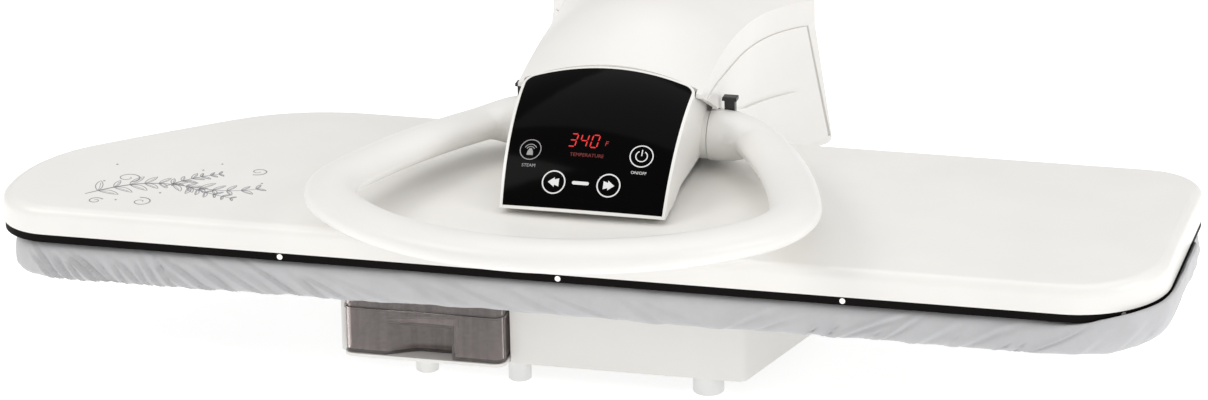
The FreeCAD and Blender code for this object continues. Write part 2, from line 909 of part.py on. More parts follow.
def hinge_tower():
    """Hollow moulded tower on the rear deck that houses the hinge brackets and the spring."""
    outer = side_prism(tower_profile(), -tower_half_width, tower_half_width)
    half = tower_half_width - tower_wall
    inner = side_prism(inset_corners(tower_profile(), tower_wall), -half, half)
    box = inner.BoundBox
    foot_cut = block(-half, half, box.YMin, box.YMax - tower_lean, rear_deck_z - 1, box.ZMin + 1)
    shell = outer.cut(inner).cut(foot_cut)
    return shell.cut(rod_x(-80, 80, hinge_y, hinge_z, hinge_pin_d + 2 * fit_clearance))


def hinge_bracket():
    """Right-hand bracket: an upright steel plate with a folded foot."""
    x1 = tower_half_width - tower_wall - fit_clearance
    x0 = x1 - bracket_thickness
    y0 = hinge_y - bracket_forward
    y1 = hinge_y + bracket_foot
    profile = [
        (y0, rear_deck_z, 0.0),
        (y1, rear_deck_z, 0.0),
        (hinge_y + hinge_pin_d, hinge_z + hinge_pin_d, hinge_pin_d - 1),
        (hinge_y - hinge_pin_d, hinge_z + hinge_pin_d, hinge_pin_d - 1),
    ]
    plate = side_prism(profile, x0, x1)
    flange = block(x0 - bracket_foot, x0, y0, y1, rear_deck_z, rear_deck_z + bracket_thickness)
    return plate.fuse(flange).cut(rod_x(0, 80, hinge_y, hinge_z, hinge_pin_d))


def hinge_pin():
    reach = arm_outer_x() + bush_flange + 1.0
    pin = rod_x(-reach, reach, hinge_y, hinge_z, hinge_pin_d)
    return pin.makeChamfer(0.8, [e for e in pin.Edges if e.BoundBox.XLength < 0.01])


def bush_outer_d():
    return hinge_pin_d + 2 * (running_clearance + bush_wall)


def hinge_bush():
    """Right-hand flanged bush, pressed into the arm and running on the hinge pin."""
    x0 = arm_inner_x() - bush_flange
    sleeve = rod_x(x0, arm_outer_x() + bush_flange, hinge_y, hinge_z, bush_outer_d())
    flange = rod_x(x0, arm_inner_x(), hinge_y, hinge_z, bush_outer_d() + 8.0)
    return sleeve.fuse(flange).cut(rod_x(0, 90, hinge_y, hinge_z, hinge_pin_d + 2 * running_clearance))


def lift_spring():
    """Counterbalance spring wound round the hinge pin, its two tails laid along the brackets."""
    start_x = -spring_turns * spring_pitch / 2
    coil = Part.makeLongHelix(spring_pitch, spring_turns * spring_pitch, spring_coil_d / 2)
    ring = Part.Wire([Part.makeCircle(spring_wire_d / 2, V(spring_coil_d / 2, 0, 0), V(0, 1, 0))])
    wire = Part.Wire(coil.Edges).makePipeShell([ring], True, True)
    wire.rotate(V(0, 0, 0), V(0, 1, 0), 90)
    wire.translate(V(start_x, hinge_y, hinge_z))
    return wire


def arm_profile():
    """Side view of the arm plates: hinge boss, back leg, long top beam and the nose at the hanger pin."""
    top = arm_web_z
    back = hinge_y + arm_boss_r
    front = plate_mid_y - 18.0
    low = casing_top_z + arm_casing_gap
    return [
        (hinge_y - arm_boss_r, hinge_z - 18.0, 14.0),
        (back, hinge_z - 18.0, 20.0),
        (back, hinge_z + 57.0, 30.0),
        (back - 40.0, top, 26.0),
        (plate_mid_y + 42.0, top, 20.0),
        (front, hanger_pin_z + 20.0, 12.0),
        (front, low, 10.0),
        (handle_pivot_y + 16.0, low, 16.0),
        (handle_pivot_y + 40.0, top - 36.0, 20.0),
        (hinge_y - 58.0, top - 36.0, 22.0),
        (hinge_y - 36.0, hinge_z + 34.0, 20.0),
    ]


def arm_frame():
    """Folded steel channel: two side plates with lightening holes and a top web."""
    plate = side_prism(arm_profile(), arm_inner_x(), arm_outer_x())
    for y in (handle_pivot_y + 40.0, handle_pivot_y + 70.0):
        plate = plate.cut(rod_x(50, 80, y, arm_web_z - 18.0, 16.0))
    plate = plate.cut(rod_x(50, 80, hinge_y, hinge_z, bush_outer_d()))
    plate = plate.cut(rod_x(50, 80, plate_mid_y, hanger_pin_z, hanger_pin_d)).cut(handle_pin_hole())
    x = arm_inner_x()
    web = block(-x, x, plate_mid_y + 50.0, hinge_y - 34.0, arm_web_z - arm_plate_thickness, arm_web_z)
    return web.fuse([plate, mirrored(plate)])


# Hood


def hood_share(y):
    return (y - hood_front_y) / (hood_rear_y - hood_front_y)


def ridge_x(y):
    return hood_half_width + hood_flare * hood_share(y) ** 4


def ridge_z(y):
    if y < hood_ridge_y:
        return hood_ridge_z - hood_front_drop * ((hood_ridge_y - y) / (hood_ridge_y - hood_front_y)) ** 2
    return hood_ridge_z - hood_rear_drop * ((y - hood_ridge_y) / (hood_rear_y - hood_ridge_y)) ** 2


def front_share(y):
    return (y - hood_front_y) / (hood_ridge_y - hood_front_y)


def band_z(y):
    return ridge_z(y) - blend(hood_band_front, hood_band, front_share(y))


def skirt_x(y, z):
    """Half width of the drafted flank at a height below the band."""
    return ridge_x(y) + hood_draft * hood_share(y) ** 2 * (band_z(y) - z)


def hood_section(y, grow):
    """Cross-section of the hood: drafted flanks, upright bands and an arched top."""
    foot_z = hood_skirt_z - 2.0
    top_x = ridge_x(y) + grow
    foot_x = skirt_x(y, foot_z) + grow
    crown_z = ridge_z(y) + blend(hood_crown_front, hood_crown, front_share(y)) + grow
    corner_z = ridge_z(y) + grow
    points = [V(-foot_x, y, foot_z), V(-top_x, y, band_z(y)), V(-top_x, y, corner_z)]
    points += [V(top_x, y, corner_z), V(top_x, y, band_z(y)), V(foot_x, y, foot_z)]
    edges = [
        Part.makeLine(points[0], points[1]),
        Part.makeLine(points[1], points[2]),
        Part.Arc(points[2], V(0, y, crown_z), points[3]).toShape(),
        Part.makeLine(points[3], points[4]),
        Part.makeLine(points[4], points[5]),
        Part.makeLine(points[5], points[0]),
    ]
    return Part.Wire(edges)


def hood_stations(y0, y1):
    count = 8
    return [y0 + (y1 - y0) * i / count for i in range(count + 1)]


def hood_body(grow, y0, y1):
    return Part.makeLoft([hood_section(y, grow) for y in hood_stations(y0, y1)], True, False)


def skirt_profile(front, rear):
    """Side view of what the hood covers: short skirt over the casing, deep skirt behind the board."""
    step_y = plate_back_y + hood_back_gap
    low_z = casing_top_z + hood_casing_gap
    return [
        (step_y, hood_skirt_z, 8.0),
        (rear, hood_skirt_z, 6.0),
        (rear, hood_ridge_z + 60.0, 0.0),
        (front, hood_ridge_z + 60.0, 0.0),
        (front, low_z, 4.0),
        (step_y, low_z, 14.0),
    ]


def side_panel_space(inset, rear_inset):
    """Side view of the flank panel: its upper edge runs under the band."""
    y0 = hood_front_y + 3.0 + inset
    y1 = hood_rear_y - rear_rim - rear_groove - rear_inset
    step_y = plate_back_y + hood_back_gap + 6.0 + inset
    low_z = casing_top_z + hood_casing_gap + 4.0 + inset
    foot_z = hood_skirt_z + 6.0 + inset
    tops = [(y, band_z(y) - side_panel_margin - inset) for y in hood_stations(y0, y1)]
    crest = Part.BSplineCurve()
    crest.interpolate([V(0, y, z) for y, z in tops])
    lean = 7.0
    outline = [(y1 + lean, foot_z), (step_y, foot_z), (step_y, low_z), (y0, low_z)]
    points = [V(0, *tops[-1])] + [V(0, *p) for p in outline] + [V(0, *tops[0])]
    lines = [Part.makeLine(a, b) for a, b in zip(points, points[1:])]
    return Part.Face(Part.Wire([crest.toShape()] + lines)).extrude(V(200, 0, 0))


def handle_recess():
    """Space cleared in the hood and its flank round the right-hand handle root, open to the front."""
    x0 = neck_half_width + handle_side_gap
    radius = handle_boss_r + handle_recess_gap
    round_part = rod_x(x0, 200, handle_pivot_y, handle_pivot_z, 2 * radius)
    front_y = hood_front_y - 40.0
    corners = [
        (front_y, hood_skirt_z, 0.0),
        (handle_pivot_y, hood_skirt_z, 0.0),
        (handle_pivot_y, handle_pivot_z + radius + 2.0, 0.0),
        (hood_front_y + 2.0, ridge_z(hood_front_y) - 3.0, 0.0),
        (front_y, ridge_z(hood_front_y) - 3.0, 0.0),
    ]
    return round_part.fuse(side_prism(corners, x0, 200))


def arm_cover():
    """Hood shell with a window in each flank for the side panel."""
    outer = hood_body(0.0, hood_front_y, hood_rear_y)
    inner = hood_body(-hood_wall, hood_front_y, hood_rear_y)
    skirt = side_prism(skirt_profile(hood_front_y, hood_rear_y), -200, 200)
    window = side_panel_space(0.0, -rear_groove)
    shell = outer.cut(inner).common(skirt).cut(head_envelope())
    recess = handle_recess()
    return shell.cut([window, mirrored(window), recess, mirrored(recess)])


def arm_side():
    """Right-hand flank panel, a little proud of the hood, with the shadow groove behind it."""
    y0, y1 = hood_front_y, hood_rear_y
    skin = hood_body(side_panel_proud, y0, y1).cut(hood_body(-hood_wall, y0, y1))
    return skin.common(side_panel_space(side_panel_gap, 0.0)).cut(handle_recess())


def arm_cheek():
    """Right-hand cheek: an arched plate from over the handle root back to the hinge."""
    rear = hood_rear_y - rear_rim - rear_groove - 4.0
    low_z = casing_top_z + hood_casing_gap + 5.0
    step_y = plate_back_y + hood_back_gap + 8.0
    arch_r = cheek_arch_share * (plate_back_y - handle_pivot_y)
    corners = [
        (step_y, hood_skirt_z + 7.0, 0.0),
        (rear, hood_skirt_z + 7.0, 0.0),
        (rear - 6.0, 157.0, 30.0),
        (plate_back_y, 178.0, arch_r),
        (handle_pivot_y + 18.0, 200.0, arch_r),
        (handle_pivot_y + 8.0, 202.0, 0.0),
        (handle_pivot_y + 8.0, low_z, 0.0),
        (step_y, low_z, 6.0),
    ]
    y0, y1 = hood_front_y, hood_rear_y
    under = hood_body(side_panel_proud + side_panel_gap, y0, y1)
    skin = hood_body(side_panel_proud + cheek_proud, y0, y1).cut(under)
    return skin.common(side_prism(corners, 0, 200)).cut(handle_recess())


def rear_cover():
    """Domed cover closing the back of the hood: a tapered plug with a raised face."""
    y0 = hood_rear_y - rear_cover_depth
    inset = hood_wall + side_panel_gap
    limits = block(-200, 200, y0, 400, hood_skirt_z + 1.0, hood_ridge_z + 60)
    plug = hood_body(-inset, hood_front_y, hood_rear_y).common(limits)
    outline = Part.Face(hood_section(hood_rear_y, -inset - 0.1))
    face = outline.extrude(V(0, rear_cover_bulge, 0)).common(limits)
    face = rounded_edges(face, 2.5, lambda e: e.BoundBox.YMin > hood_rear_y + rear_cover_bulge - 0.01)
    inside = block(-200, 200, y0 - 1, hood_rear_y - hood_wall, 0, hood_ridge_z + 60)
    return plug.cut(hood_body(-inset - hood_wall, hood_front_y, hood_rear_y).common(inside)).fuse(face)


# Control head


def head_point(x, degrees, depth, bulge):
    """Point of the head's curved, tapering front, set in by a depth; x is its place across the ridge line."""
    radius = head_arc_r + bulge * (1 - (x / head_half_width) ** 2) - depth
    angle = math.radians(degrees)
    z = head_arc_z + radius * math.sin(angle)
    taper = 1 - head_taper * (hood_ridge_z - z) / head_half_width
    return V(x * taper, head_arc_y + radius * math.cos(angle), z)


def head_section(x, depth0, depth1, trim):
    """Closed section of the curved head between two depths."""
    top = head_top_deg - head_top_sweep_deg * (1 - (x / head_half_width) ** 2) + trim
    bottom = head_bottom_deg - trim
    spots = ((bottom, head_bulge_bottom), ((top + bottom) / 2, head_bulge_middle), (top, head_bulge_top))
    front = [head_point(x, degrees, depth0, bulge) for degrees, bulge in spots]
    back = [head_point(x, degrees, depth1, bulge) for degrees, bulge in spots]
    edges = [
        Part.Arc(*front).toShape(),
        Part.makeLine(front[2], back[2]),
        Part.Arc(*back[::-1]).toShape(),
        Part.makeLine(back[0], front[0]),
    ]
    return Part.Wire(edges)


def head_layer(half_width, depth0, depth1, trim):
    """Curved slab behind the head's front, across its tapered width."""
    places = [half_width * share for share in (-1.0, -0.5, 0.0, 0.5, 1.0)]
    return Part.makeLoft([head_section(x, depth0, depth1, trim) for x in places], True, False)


def head_floor(raised=0.0):
    """Everything lower than the head's flat underside."""
    return block(-200, 200, -200, 200, 0, casing_top_z + head_casing_gap + raised)


def head_radius_at(point):
    return math.hypot(point.y - head_arc_y, point.z - head_arc_z)


def round_top_corners(layer, radius):
    """Round the two upper corners of a curved layer, seen from the front."""
    middle_z = head_arc_z + head_arc_r * math.sin(math.radians((head_top_deg + head_bottom_deg) / 2))
    return rounded_edges(layer, radius, lambda e: e.BoundBox.XLength < 0.1 * head_tray_depth
                         and e.BoundBox.ZMin > middle_z and e.Length < 1.5 * head_tray_depth)


def head_envelope():
    """Tray with clearance and the space in front of it, cleared from the hood."""
    return head_layer(head_half_width + fit_clearance, -40.0, head_tray_depth + fit_clearance, -0.15)


def neck_top_z():
    return ridge_z(hood_front_y) - 4.0


def neck(inset, reach):
    """Narrower body behind the head's tray, back to just behind the handle pivot."""
    low_z = casing_top_z + head_casing_gap - inset
    rear_y = handle_pivot_y + neck_behind_pivot + inset
    top_z = neck_top_z() - inset
    corners = [
        (-80.0, low_z, 0.0),
        (rear_y, low_z, 0.0),
        (rear_y, top_z, 0.0),
        (-80.0, top_z, 0.0),
    ]
    half = neck_half_width - inset
    body = side_prism(corners, -half, half)
    return body.common(rod_x(-half, half, head_arc_y, head_arc_z, 2 * reach))


def head_shoulder():
    """Tapered body behind the tray, whose side walls sweep back from the rim to the handle hubs."""
    low_z = casing_top_z + head_casing_gap
    corners = [
        (-80.0, low_z, 0.0),
        (-30.0, low_z, 60.0),
        (-2.0, low_z + 11.0, 40.0),
        (handle_pivot_y - 12.0, low_z + 11.0, 10.0),
        (handle_pivot_y + neck_behind_pivot, handle_pivot_z, 0.0),
        (handle_pivot_y + neck_behind_pivot, neck_top_z(), 0.0),
        (-80.0, neck_top_z(), 0.0),
    ]
    high = head_half_width - head_shoulder_inset
    low = high - head_taper * hood_ridge_z
    front = [V(-low, -100, 0), V(low, -100, 0), V(high, -100, hood_ridge_z), V(-high, -100, hood_ridge_z)]
    taper = Part.Face(Part.makePolygon(front + front[:1])).extrude(V(0, 300, 0))
    return side_prism(corners, -head_half_width, head_half_width).common(taper)


def control_head():
    """Tray with a thin rim round the glass, and the neck with the handle hubs that joins it to the arm."""
    tray = head_layer(head_half_width, 0.0, head_tray_depth, 0.0)
    back = head_arc_r - head_tray_depth
    tray = round_top_corners(tray, glass_corner_r + head_rim)
    tray = rounded_edges(tray, head_shoulder_r, lambda e: e.Length > 2 * head_tray_depth
                         and head_radius_at(e.CenterOfMass) < back + 5
                         and abs(e.CenterOfMass.x) > neck_half_width)
    trim = math.degrees(head_rim / head_arc_r)
    bed = glass_sunk + glass_thickness + glass_gap
    recess = head_layer(head_half_width - head_rim, -5.0, bed, trim)
    tray = tray.cut(round_top_corners(recess, glass_corner_r))
    web = bed + head_web
    hollow = head_layer(head_half_width - head_shoulder_r, web, head_tray_depth - head_web, 4 * trim)
    hollow = hollow.cut(head_floor(head_web))
    inner_neck = neck(neck_wall, head_arc_r - web - 3.0)
    hub_x = hub_end_x()
    hubs = rod_x(-hub_x, hub_x, handle_pivot_y, handle_pivot_z, 2 * hub_r)
    shoulder = head_shoulder().common(rod_x(-100, 100, head_arc_y, head_arc_z, 2 * (head_arc_r - web)))
    shoulder = shoulder.cut(block(-neck_half_width, neck_half_width, -200, 200, 0, 400))
    body = tray.cut(hollow).fuse([neck(0.0, back + 2.0), shoulder, hubs]).cut(inner_neck).cut(head_floor())
    window = display_block(display_width + 1, display_height + 1, 0.0, 8.0)
    return body.cut(window).cut(handle_pin_hole())


def control_panel():
    """Curved glass fascia, flush inside the rim."""
    inset = head_rim + glass_gap
    trim = math.degrees(inset / head_arc_r)
    glass = head_layer(head_half_width - inset, glass_sunk, head_tray_depth, trim)
    behind = head_layer(head_half_width, glass_sunk + glass_thickness, head_tray_depth + 1.0, 0.0)
    return round_top_corners(glass, glass_corner_r).cut(behind).cut(head_floor())


def display_block(width, height, depth0, depth1):
    """Flat block behind the glass, square to the middle of the curved front."""
    degrees = (head_top_deg + head_bottom_deg) / 2 - 3.0
    body = block(-width / 2, width / 2, -height / 2, height / 2, -depth1, -depth0)
    body.rotate(V(0, 0, 0), V(1, 0, 0), degrees - 90.0)
    angle = math.radians(degrees)
    surface = head_arc_r + head_bulge_middle - glass_sunk - glass_thickness - 1.6
    body.translate(V(0, head_arc_y + surface * math.cos(angle), head_arc_z + surface * math.sin(angle)))
    return body


def display_module():
    return display_block(display_width, display_height, 0.6, 0.6 + display_depth)


def control_board():
    depth = 0.6 + display_depth
    return display_block(board_width, board_length, depth, depth + circuit_board_thickness)


# Handle


def handle_spot(heading):
    """In-plane point of the half loop where its path has turned through a heading, from the front centre."""
    x = y = turned = 0.0
    for radius, turn in handle_arcs:
        start = math.radians(turned)
        end = math.radians(min(heading, turned + turn))
        x += radius * (math.sin(end) - math.sin(start))
        y += radius * (math.cos(start) - math.cos(end))
        turned += turn
        if heading <= turned:
            break
    return x, y


def handle_point(x, y):
    """Point of the loop's plane, which rises slightly towards the user; the roots lie on the pivot."""
    rise = math.radians(handle_rise_deg)
    back = y - handle_spot(180.0)[1]
    return V(x, handle_pivot_y + back * math.cos(rise), handle_pivot_z - back * math.sin(rise))


def handle_front_y():
    return handle_point(0.0, 0.0).y - handle_half_width


def hub_end_x():
    return neck_half_width + hub_reach


def boss_x0():
    return hub_end_x() + handle_side_gap


def handle_oval(heading, swell, step=0.0, ahead=0.0):
    """Cross-section of the loop, square to its path; swell 0 is its oval, swell 1 the round root."""
    half_width = blend(handle_half_width, handle_boss_r, swell) - step
    half_height = blend(handle_half_height, handle_boss_r - step / 4, swell) - step
    rise = math.radians(handle_rise_deg)
    angle = math.radians(heading)
    x, y = handle_spot(heading)
    x += math.cos(angle) * ahead
    y += math.sin(angle) * ahead
    centre = handle_point(x, y)
    along = handle_point(x - math.sin(angle) * half_width, y + math.cos(angle) * half_width)
    up = V(0, math.sin(rise), math.cos(rise)) * half_height
    return Part.Wire([Part.Ellipse(along, centre + up, centre).toShape()])


def handle_loop():
    """Oval tube swept round the loop; in each last bend it swells into a round boss on the pivot."""
    bend = sum(turn for radius, turn in handle_arcs[:-1])
    breaks = [0.0, handle_arcs[0][1], handle_arcs[0][1] + handle_arcs[1][1], bend]
    path = []
    for start, end in zip(breaks, breaks[1:]):
        spots = [handle_spot(start + (end - start) * share) for share in (0.0, 0.5, 1.0)]
        path.append(Part.Arc(*[handle_point(x, y) for x, y in spots]).toShape())
    tube = Part.Wire(path).makePipeShell([handle_oval(0.0, 0.0)], True, False)
    shares = [i / elbow_sections for i in range(elbow_sections + 1)]
    sections = [handle_oval(bend - elbow_lead_deg, 0.0, elbow_step)]
    sections += [handle_oval(bend + (180.0 - bend) * share, share, elbow_step) for share in shares]
    sections.append(handle_oval(180.0, 1.0, elbow_step, handle_pin_d / 2))
    elbow = Part.makeLoft(sections, True, False)
    elbow_x = handle_spot(180.0)[0]
    boss = rod_x(boss_x0(), elbow_x, handle_pivot_y, handle_pivot_z, 2 * handle_boss_r)
    pin_d = handle_pin_d + 2 * running_clearance
    arm = tube.fuse([elbow, boss])
    arm = arm.cut(rod_x(0, boss_x0() + handle_pin_depth, handle_pivot_y, handle_pivot_z, pin_d))
    arm = arm.cut(lock_tab_slot())
    return arm.fuse(mirrored(arm)).removeSplitter()


def handle_pin_hole():
    half = 110.0
    return rod_x(-half, half, handle_pivot_y, handle_pivot_z, handle_pin_d)


def handle_pin():
    """Right-hand pivot pin, headed inside the arm frame and running in the handle's boss."""
    head = 3.0
    x0 = arm_inner_x() - head
    cap = rod_x(x0, x0 + head, handle_pivot_y, handle_pivot_z, handle_pin_d + 8.0)
    end_x = boss_x0() + handle_pin_depth - 1.0
    return cap.fuse(rod_x(x0, end_x, handle_pivot_y, handle_pivot_z, handle_pin_d))


def tab_centre():
    x = boss_x0() + lock_tab_from_root
    return x, handle_pivot_y + lock_tab_y, handle_pivot_z + handle_boss_r


def lock_tab_slot():
    x, y, z = tab_centre()
    half_x = lock_tab_stem / 2 + lock_tab_clearance
    half_y = lock_tab_length / 2 - 1 + lock_tab_clearance
    return block(x - half_x, x + half_x, y - half_y, y + half_y, z - lock_tab_root - 1, z + 20)


def lock_tab():
    """Right-hand T-shaped lock tab: a square stem in the boss under a wider cap."""
    x, y, z = tab_centre()
    half_x = lock_tab_stem / 2
    half_y = lock_tab_length / 2 - 1
    top = z + lock_tab_height
    neck_z = top - lock_tab_cap
    stem = block(x - half_x, x + half_x, y - half_y, y + half_y, z - lock_tab_root, neck_z)
    half_x = lock_tab_width / 2
    half_y = lock_tab_length / 2
    cap = block(x - half_x, x + half_x, y - half_y, y + half_y, neck_z, top)
    cap = rounded_edges(cap, 1.2, lambda e: e.BoundBox.ZMin > top - 0.1)
    return stem.fuse(cap)


def build():
    """All pieces by name."""
    pieces = {
        "upper_casing": upper_casing(),
        "plate_frame": plate_frame(),
        "frame_screws": frame_screws(),
        "heating_plate": heating_plate(),
        "heating_element": heating_element(),
        "steam_chamber_right": steam_chamber(),
        "steam_chamber_left": mirrored(steam_chamber()),
        "heat_shield": heat_shield(),
        "plate_hanger": plate_hanger(),
        "hanger_pin": hanger_pin(),
        "board_cover": board_cover(),
        "foam_pad": foam_pad(),
        "board_plate": board_plate(),
        "elastic_hem": elastic_hem(),
        "board_bracket_right": board_bracket(board_bracket_xs[1]),
        "board_bracket_left": board_bracket(board_bracket_xs[0]),
        "base_housing": base_housing(),
        "base_bottom": base_bottom(),
        "tank_tray": tank_tray(),
        "water_tank": water_tank(),
        "tank_lid": tank_lid(),
        "tank_plug": tank_plug(),
        "water_pump": water_pump(),
        "power_board": power_board(),
        "power_inlet": power_inlet(),
        "hinge_tower": hinge_tower(),
        "hinge_bracket_right": hinge_bracket(),
        "hinge_bracket_left": mirrored(hinge_bracket()),
        "hinge_pin": hinge_pin(),
        "hinge_bush_right": hinge_bush(),
        "hinge_bush_left": mirrored(hinge_bush()),
        "lift_spring": lift_spring(),
        "arm_frame": arm_frame(),
        "arm_cover": arm_cover(),
        "arm_side_right": arm_side(),
        "arm_side_left": mirrored(arm_side()),
        "arm_cheek_right": arm_cheek(),
        "arm_cheek_left": mirrored(arm_cheek()),
        "rear_cover": rear_cover(),
        "control_head": control_head(),
        "control_panel": control_panel(),
        "display_module": display_module(),
        "control_board": control_board(),
        "handle_loop": handle_loop(),
        "handle_pin_right": handle_pin(),
        "handle_pin_left": mirrored(handle_pin()),
        "lock_tab_right": lock_tab(),
        "lock_tab_left": mirrored(lock_tab()),
    }
    for name, (x, y, diameter) in feet.items():
        pieces[name] = foot(x, y, diameter)
    return pieces


# The origin lies on the table under the middle of the whole press
origin_y = (handle_front_y() + hood_rear_y + rear_cover_bulge) / 2
for name, shape in build().items():
    shape.translate(V(-plate_middle_x, -origin_y, 0))
    shape.exportStep(f"parts/{name}.step")
    print(f"{name}: {len(shape.Solids)} solid, valid {shape.isValid()}, volume {shape.Volume / 1000:.1f} cm3")
print(f"origin_y {origin_y:.3f}, pivot x {boss_x0():.3f}, tab {tab_centre()}")
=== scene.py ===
"""Looks of the steam ironing press: materials, soft goods, printed marks, light and camera."""
import math
import random

import bmesh
import bpy
import numpy as np
from mathutils import Matrix, Vector
from mathutils.bvhtree import BVHTree
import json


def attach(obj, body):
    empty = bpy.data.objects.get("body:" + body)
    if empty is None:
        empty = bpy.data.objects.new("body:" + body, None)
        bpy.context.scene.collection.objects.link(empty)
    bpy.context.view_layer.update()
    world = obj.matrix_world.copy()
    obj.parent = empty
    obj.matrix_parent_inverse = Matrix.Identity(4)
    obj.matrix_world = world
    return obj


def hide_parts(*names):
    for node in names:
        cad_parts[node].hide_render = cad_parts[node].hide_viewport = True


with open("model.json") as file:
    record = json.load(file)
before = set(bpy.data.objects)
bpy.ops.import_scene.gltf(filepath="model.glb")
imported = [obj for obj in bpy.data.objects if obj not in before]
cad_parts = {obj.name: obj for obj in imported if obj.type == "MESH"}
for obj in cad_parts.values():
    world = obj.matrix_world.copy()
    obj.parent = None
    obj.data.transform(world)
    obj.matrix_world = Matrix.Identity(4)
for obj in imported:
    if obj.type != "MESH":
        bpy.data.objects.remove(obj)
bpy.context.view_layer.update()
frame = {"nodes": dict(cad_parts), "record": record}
nodes = frame["nodes"]
scene = bpy.context.scene
MM = 0.001

# The CAD working frame of the plates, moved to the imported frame, in millimetres
SHIFT_X = 5.5
SHIFT_Y = -2.295
TO_FRAME = np.array((SHIFT_X, SHIFT_Y, 0.0))

# Board outline in plan, in millimetres: x, y, corner radius
BOARD = (
    (-509.5, -129.0, 49.6),
    (506.0, -129.0, 80.0),
    (506.0, 163.0, 54.9),
    (-324.3, 163.0, 165.0),
    (-509.5, -15.1, 137.8),
)
BOARD_MIDDLE_Y = 17.0
COVER_TOP = 117.2
PAD_TOP = 115.9


# Camera

PIXELS_PER_METRE = 1167.0
DISTANCE = 5.0
TARGET = Vector((0.0195, -0.0473, 0.150))
AZIMUTH, ELEVATION, ROLL = (math.radians(d) for d in (15.0, 21.0, 1.2))
SENSOR_WIDTH = 36.0

# The photograph's size, and how far the target lies below its middle, in pixels
IMAGE = (1208, 400)
TARGET_DROP = 15.0


def make_camera():
    """Camera of the photograph, with its place and its directions ahead, across and up."""
    level = math.cos(ELEVATION)
    ahead = Vector((-math.sin(AZIMUTH) * level, math.cos(AZIMUTH) * level, -math.sin(ELEVATION)))
    right = Vector((math.cos(AZIMUTH), math.sin(AZIMUTH), 0.0))
    up = right.cross(ahead)
    drop = TARGET_DROP / PIXELS_PER_METRE
    place = TARGET - ahead * DISTANCE + right * drop * math.sin(ROLL) + up * drop * math.cos(ROLL)
    across = right * math.cos(ROLL) - up * math.sin(ROLL)
    upward = right * math.sin(ROLL) + up * math.cos(ROLL)
    data = bpy.data.cameras.new("camera")
    data.sensor_width = SENSOR_WIDTH
    data.lens = SENSOR_WIDTH * PIXELS_PER_METRE * DISTANCE / IMAGE[0]
    camera = bpy.data.objects.new("camera", data)
    scene.collection.objects.link(camera)
    turn = Matrix((across, upward, -ahead)).transposed().to_4x4()
    camera.matrix_world = Matrix.Translation(place) @ turn
    scene.camera = camera
    return place, ahead, across, upward


EYE, AHEAD, ACROSS, UPWARD = make_camera()


def pixel_ray(u, v):
    """Direction from the camera through a pixel of the photograph."""
    x = (u - IMAGE[0] / 2) / (PIXELS_PER_METRE * DISTANCE)
    y = (IMAGE[1] / 2 - v) / (PIXELS_PER_METRE * DISTANCE)
    return (AHEAD + ACROSS * x + UPWARD * y).normalized()


# Materials

# Noise scales, in features per metre
FLOW_SCALE = 14.0
GLOSS_SCALE = 60.0
SKIN_SCALE = 1500.0
BRUSH_SCALE = 240.0
CLOTH_SHADE_SCALE = 35.0
SLUB_SCALE = 260.0
# Streaks of painted reflection on the clear tank
REFLECTION_STREAK_SCALE = 150.0

# Where the dark and the light shade stand in a noise's range
SHADE_STOPS = (0.3, 0.7)
# A wave texture turns by this angle per unit at scale 1
WAVE_TURN = 20.0


class Shader:
    """A principled material with a few helpers for procedural detail in object space."""

    def __init__(self, name, color, roughness, **values):
        self.name = name
        self.material = bpy.data.materials.new(name)
        self.material.use_nodes = True
        self.tree = self.material.node_tree
        self.bsdf = self.tree.nodes["Principled BSDF"]
        self.set("Base Color", (*color, 1.0))
        self.set("Roughness", roughness)
        for key, value in values.items():
            self.set(key.replace("_", " "), value)
        self.color = color
        self.bumps = None
        self.place = self.add("ShaderNodeTexCoord").outputs["Object"]

    def set(self, socket, value):
        self.bsdf.inputs[socket].default_value = value

    def add(self, kind, **values):
        node = self.tree.nodes.new(kind)
        for key, value in values.items():
            setattr(node, key, value)
        return node

    def link(self, out, into):
        self.tree.links.new(out, into)

    def noise(self, scale, detail=4.0, stretch=None, roughness=0.5):
        node = self.add("ShaderNodeTexNoise")
        node.inputs["Scale"].default_value = scale
        node.inputs["Detail"].default_value = detail
        node.inputs["Roughness"].default_value = roughness
        place = self.place
        if stretch:
            mapping = self.add("ShaderNodeMapping")
            mapping.inputs["Scale"].default_value = stretch
            self.link(place, mapping.inputs["Vector"])
            place = mapping.outputs["Vector"]
        self.link(place, node.inputs["Vector"])
        return node.outputs["Fac"]

    def shades(self, fac, spread):
        """Vary the base colour by a few percent round its mean."""
        dark = tuple(c * (1 - spread) for c in self.color)
        light = tuple(min(1.0, c * (1 + spread)) for c in self.color)
        node = self.add("ShaderNodeValToRGB")
        for i, color in enumerate((dark, light)):
            node.color_ramp.elements[i].position = SHADE_STOPS[i]
            node.color_ramp.elements[i].color = (*color, 1.0)
        self.link(fac, node.inputs["Fac"])
        self.link(node.outputs["Color"], self.bsdf.inputs["Base Color"])

    def vary_roughness(self, fac, low, high):
        node = self.add("ShaderNodeMapRange")
        node.inputs["To Min"].default_value = low
        node.inputs["To Max"].default_value = high
        self.link(fac, node.inputs["Value"])
        self.link(node.outputs["Result"], self.bsdf.inputs["Roughness"])

    def bump(self, height, strength, distance):
        """Add a bump over those that the material has."""
        node = self.add("ShaderNodeBump")
        node.inputs["Strength"].default_value = strength
        node.inputs["Distance"].default_value = distance
        self.link(height, node.inputs["Height"])
        if self.bumps:
            self.link(self.bumps, node.inputs["Normal"])
        self.bumps = node.outputs["Normal"]
        self.link(self.bumps, self.bsdf.inputs["Normal"])


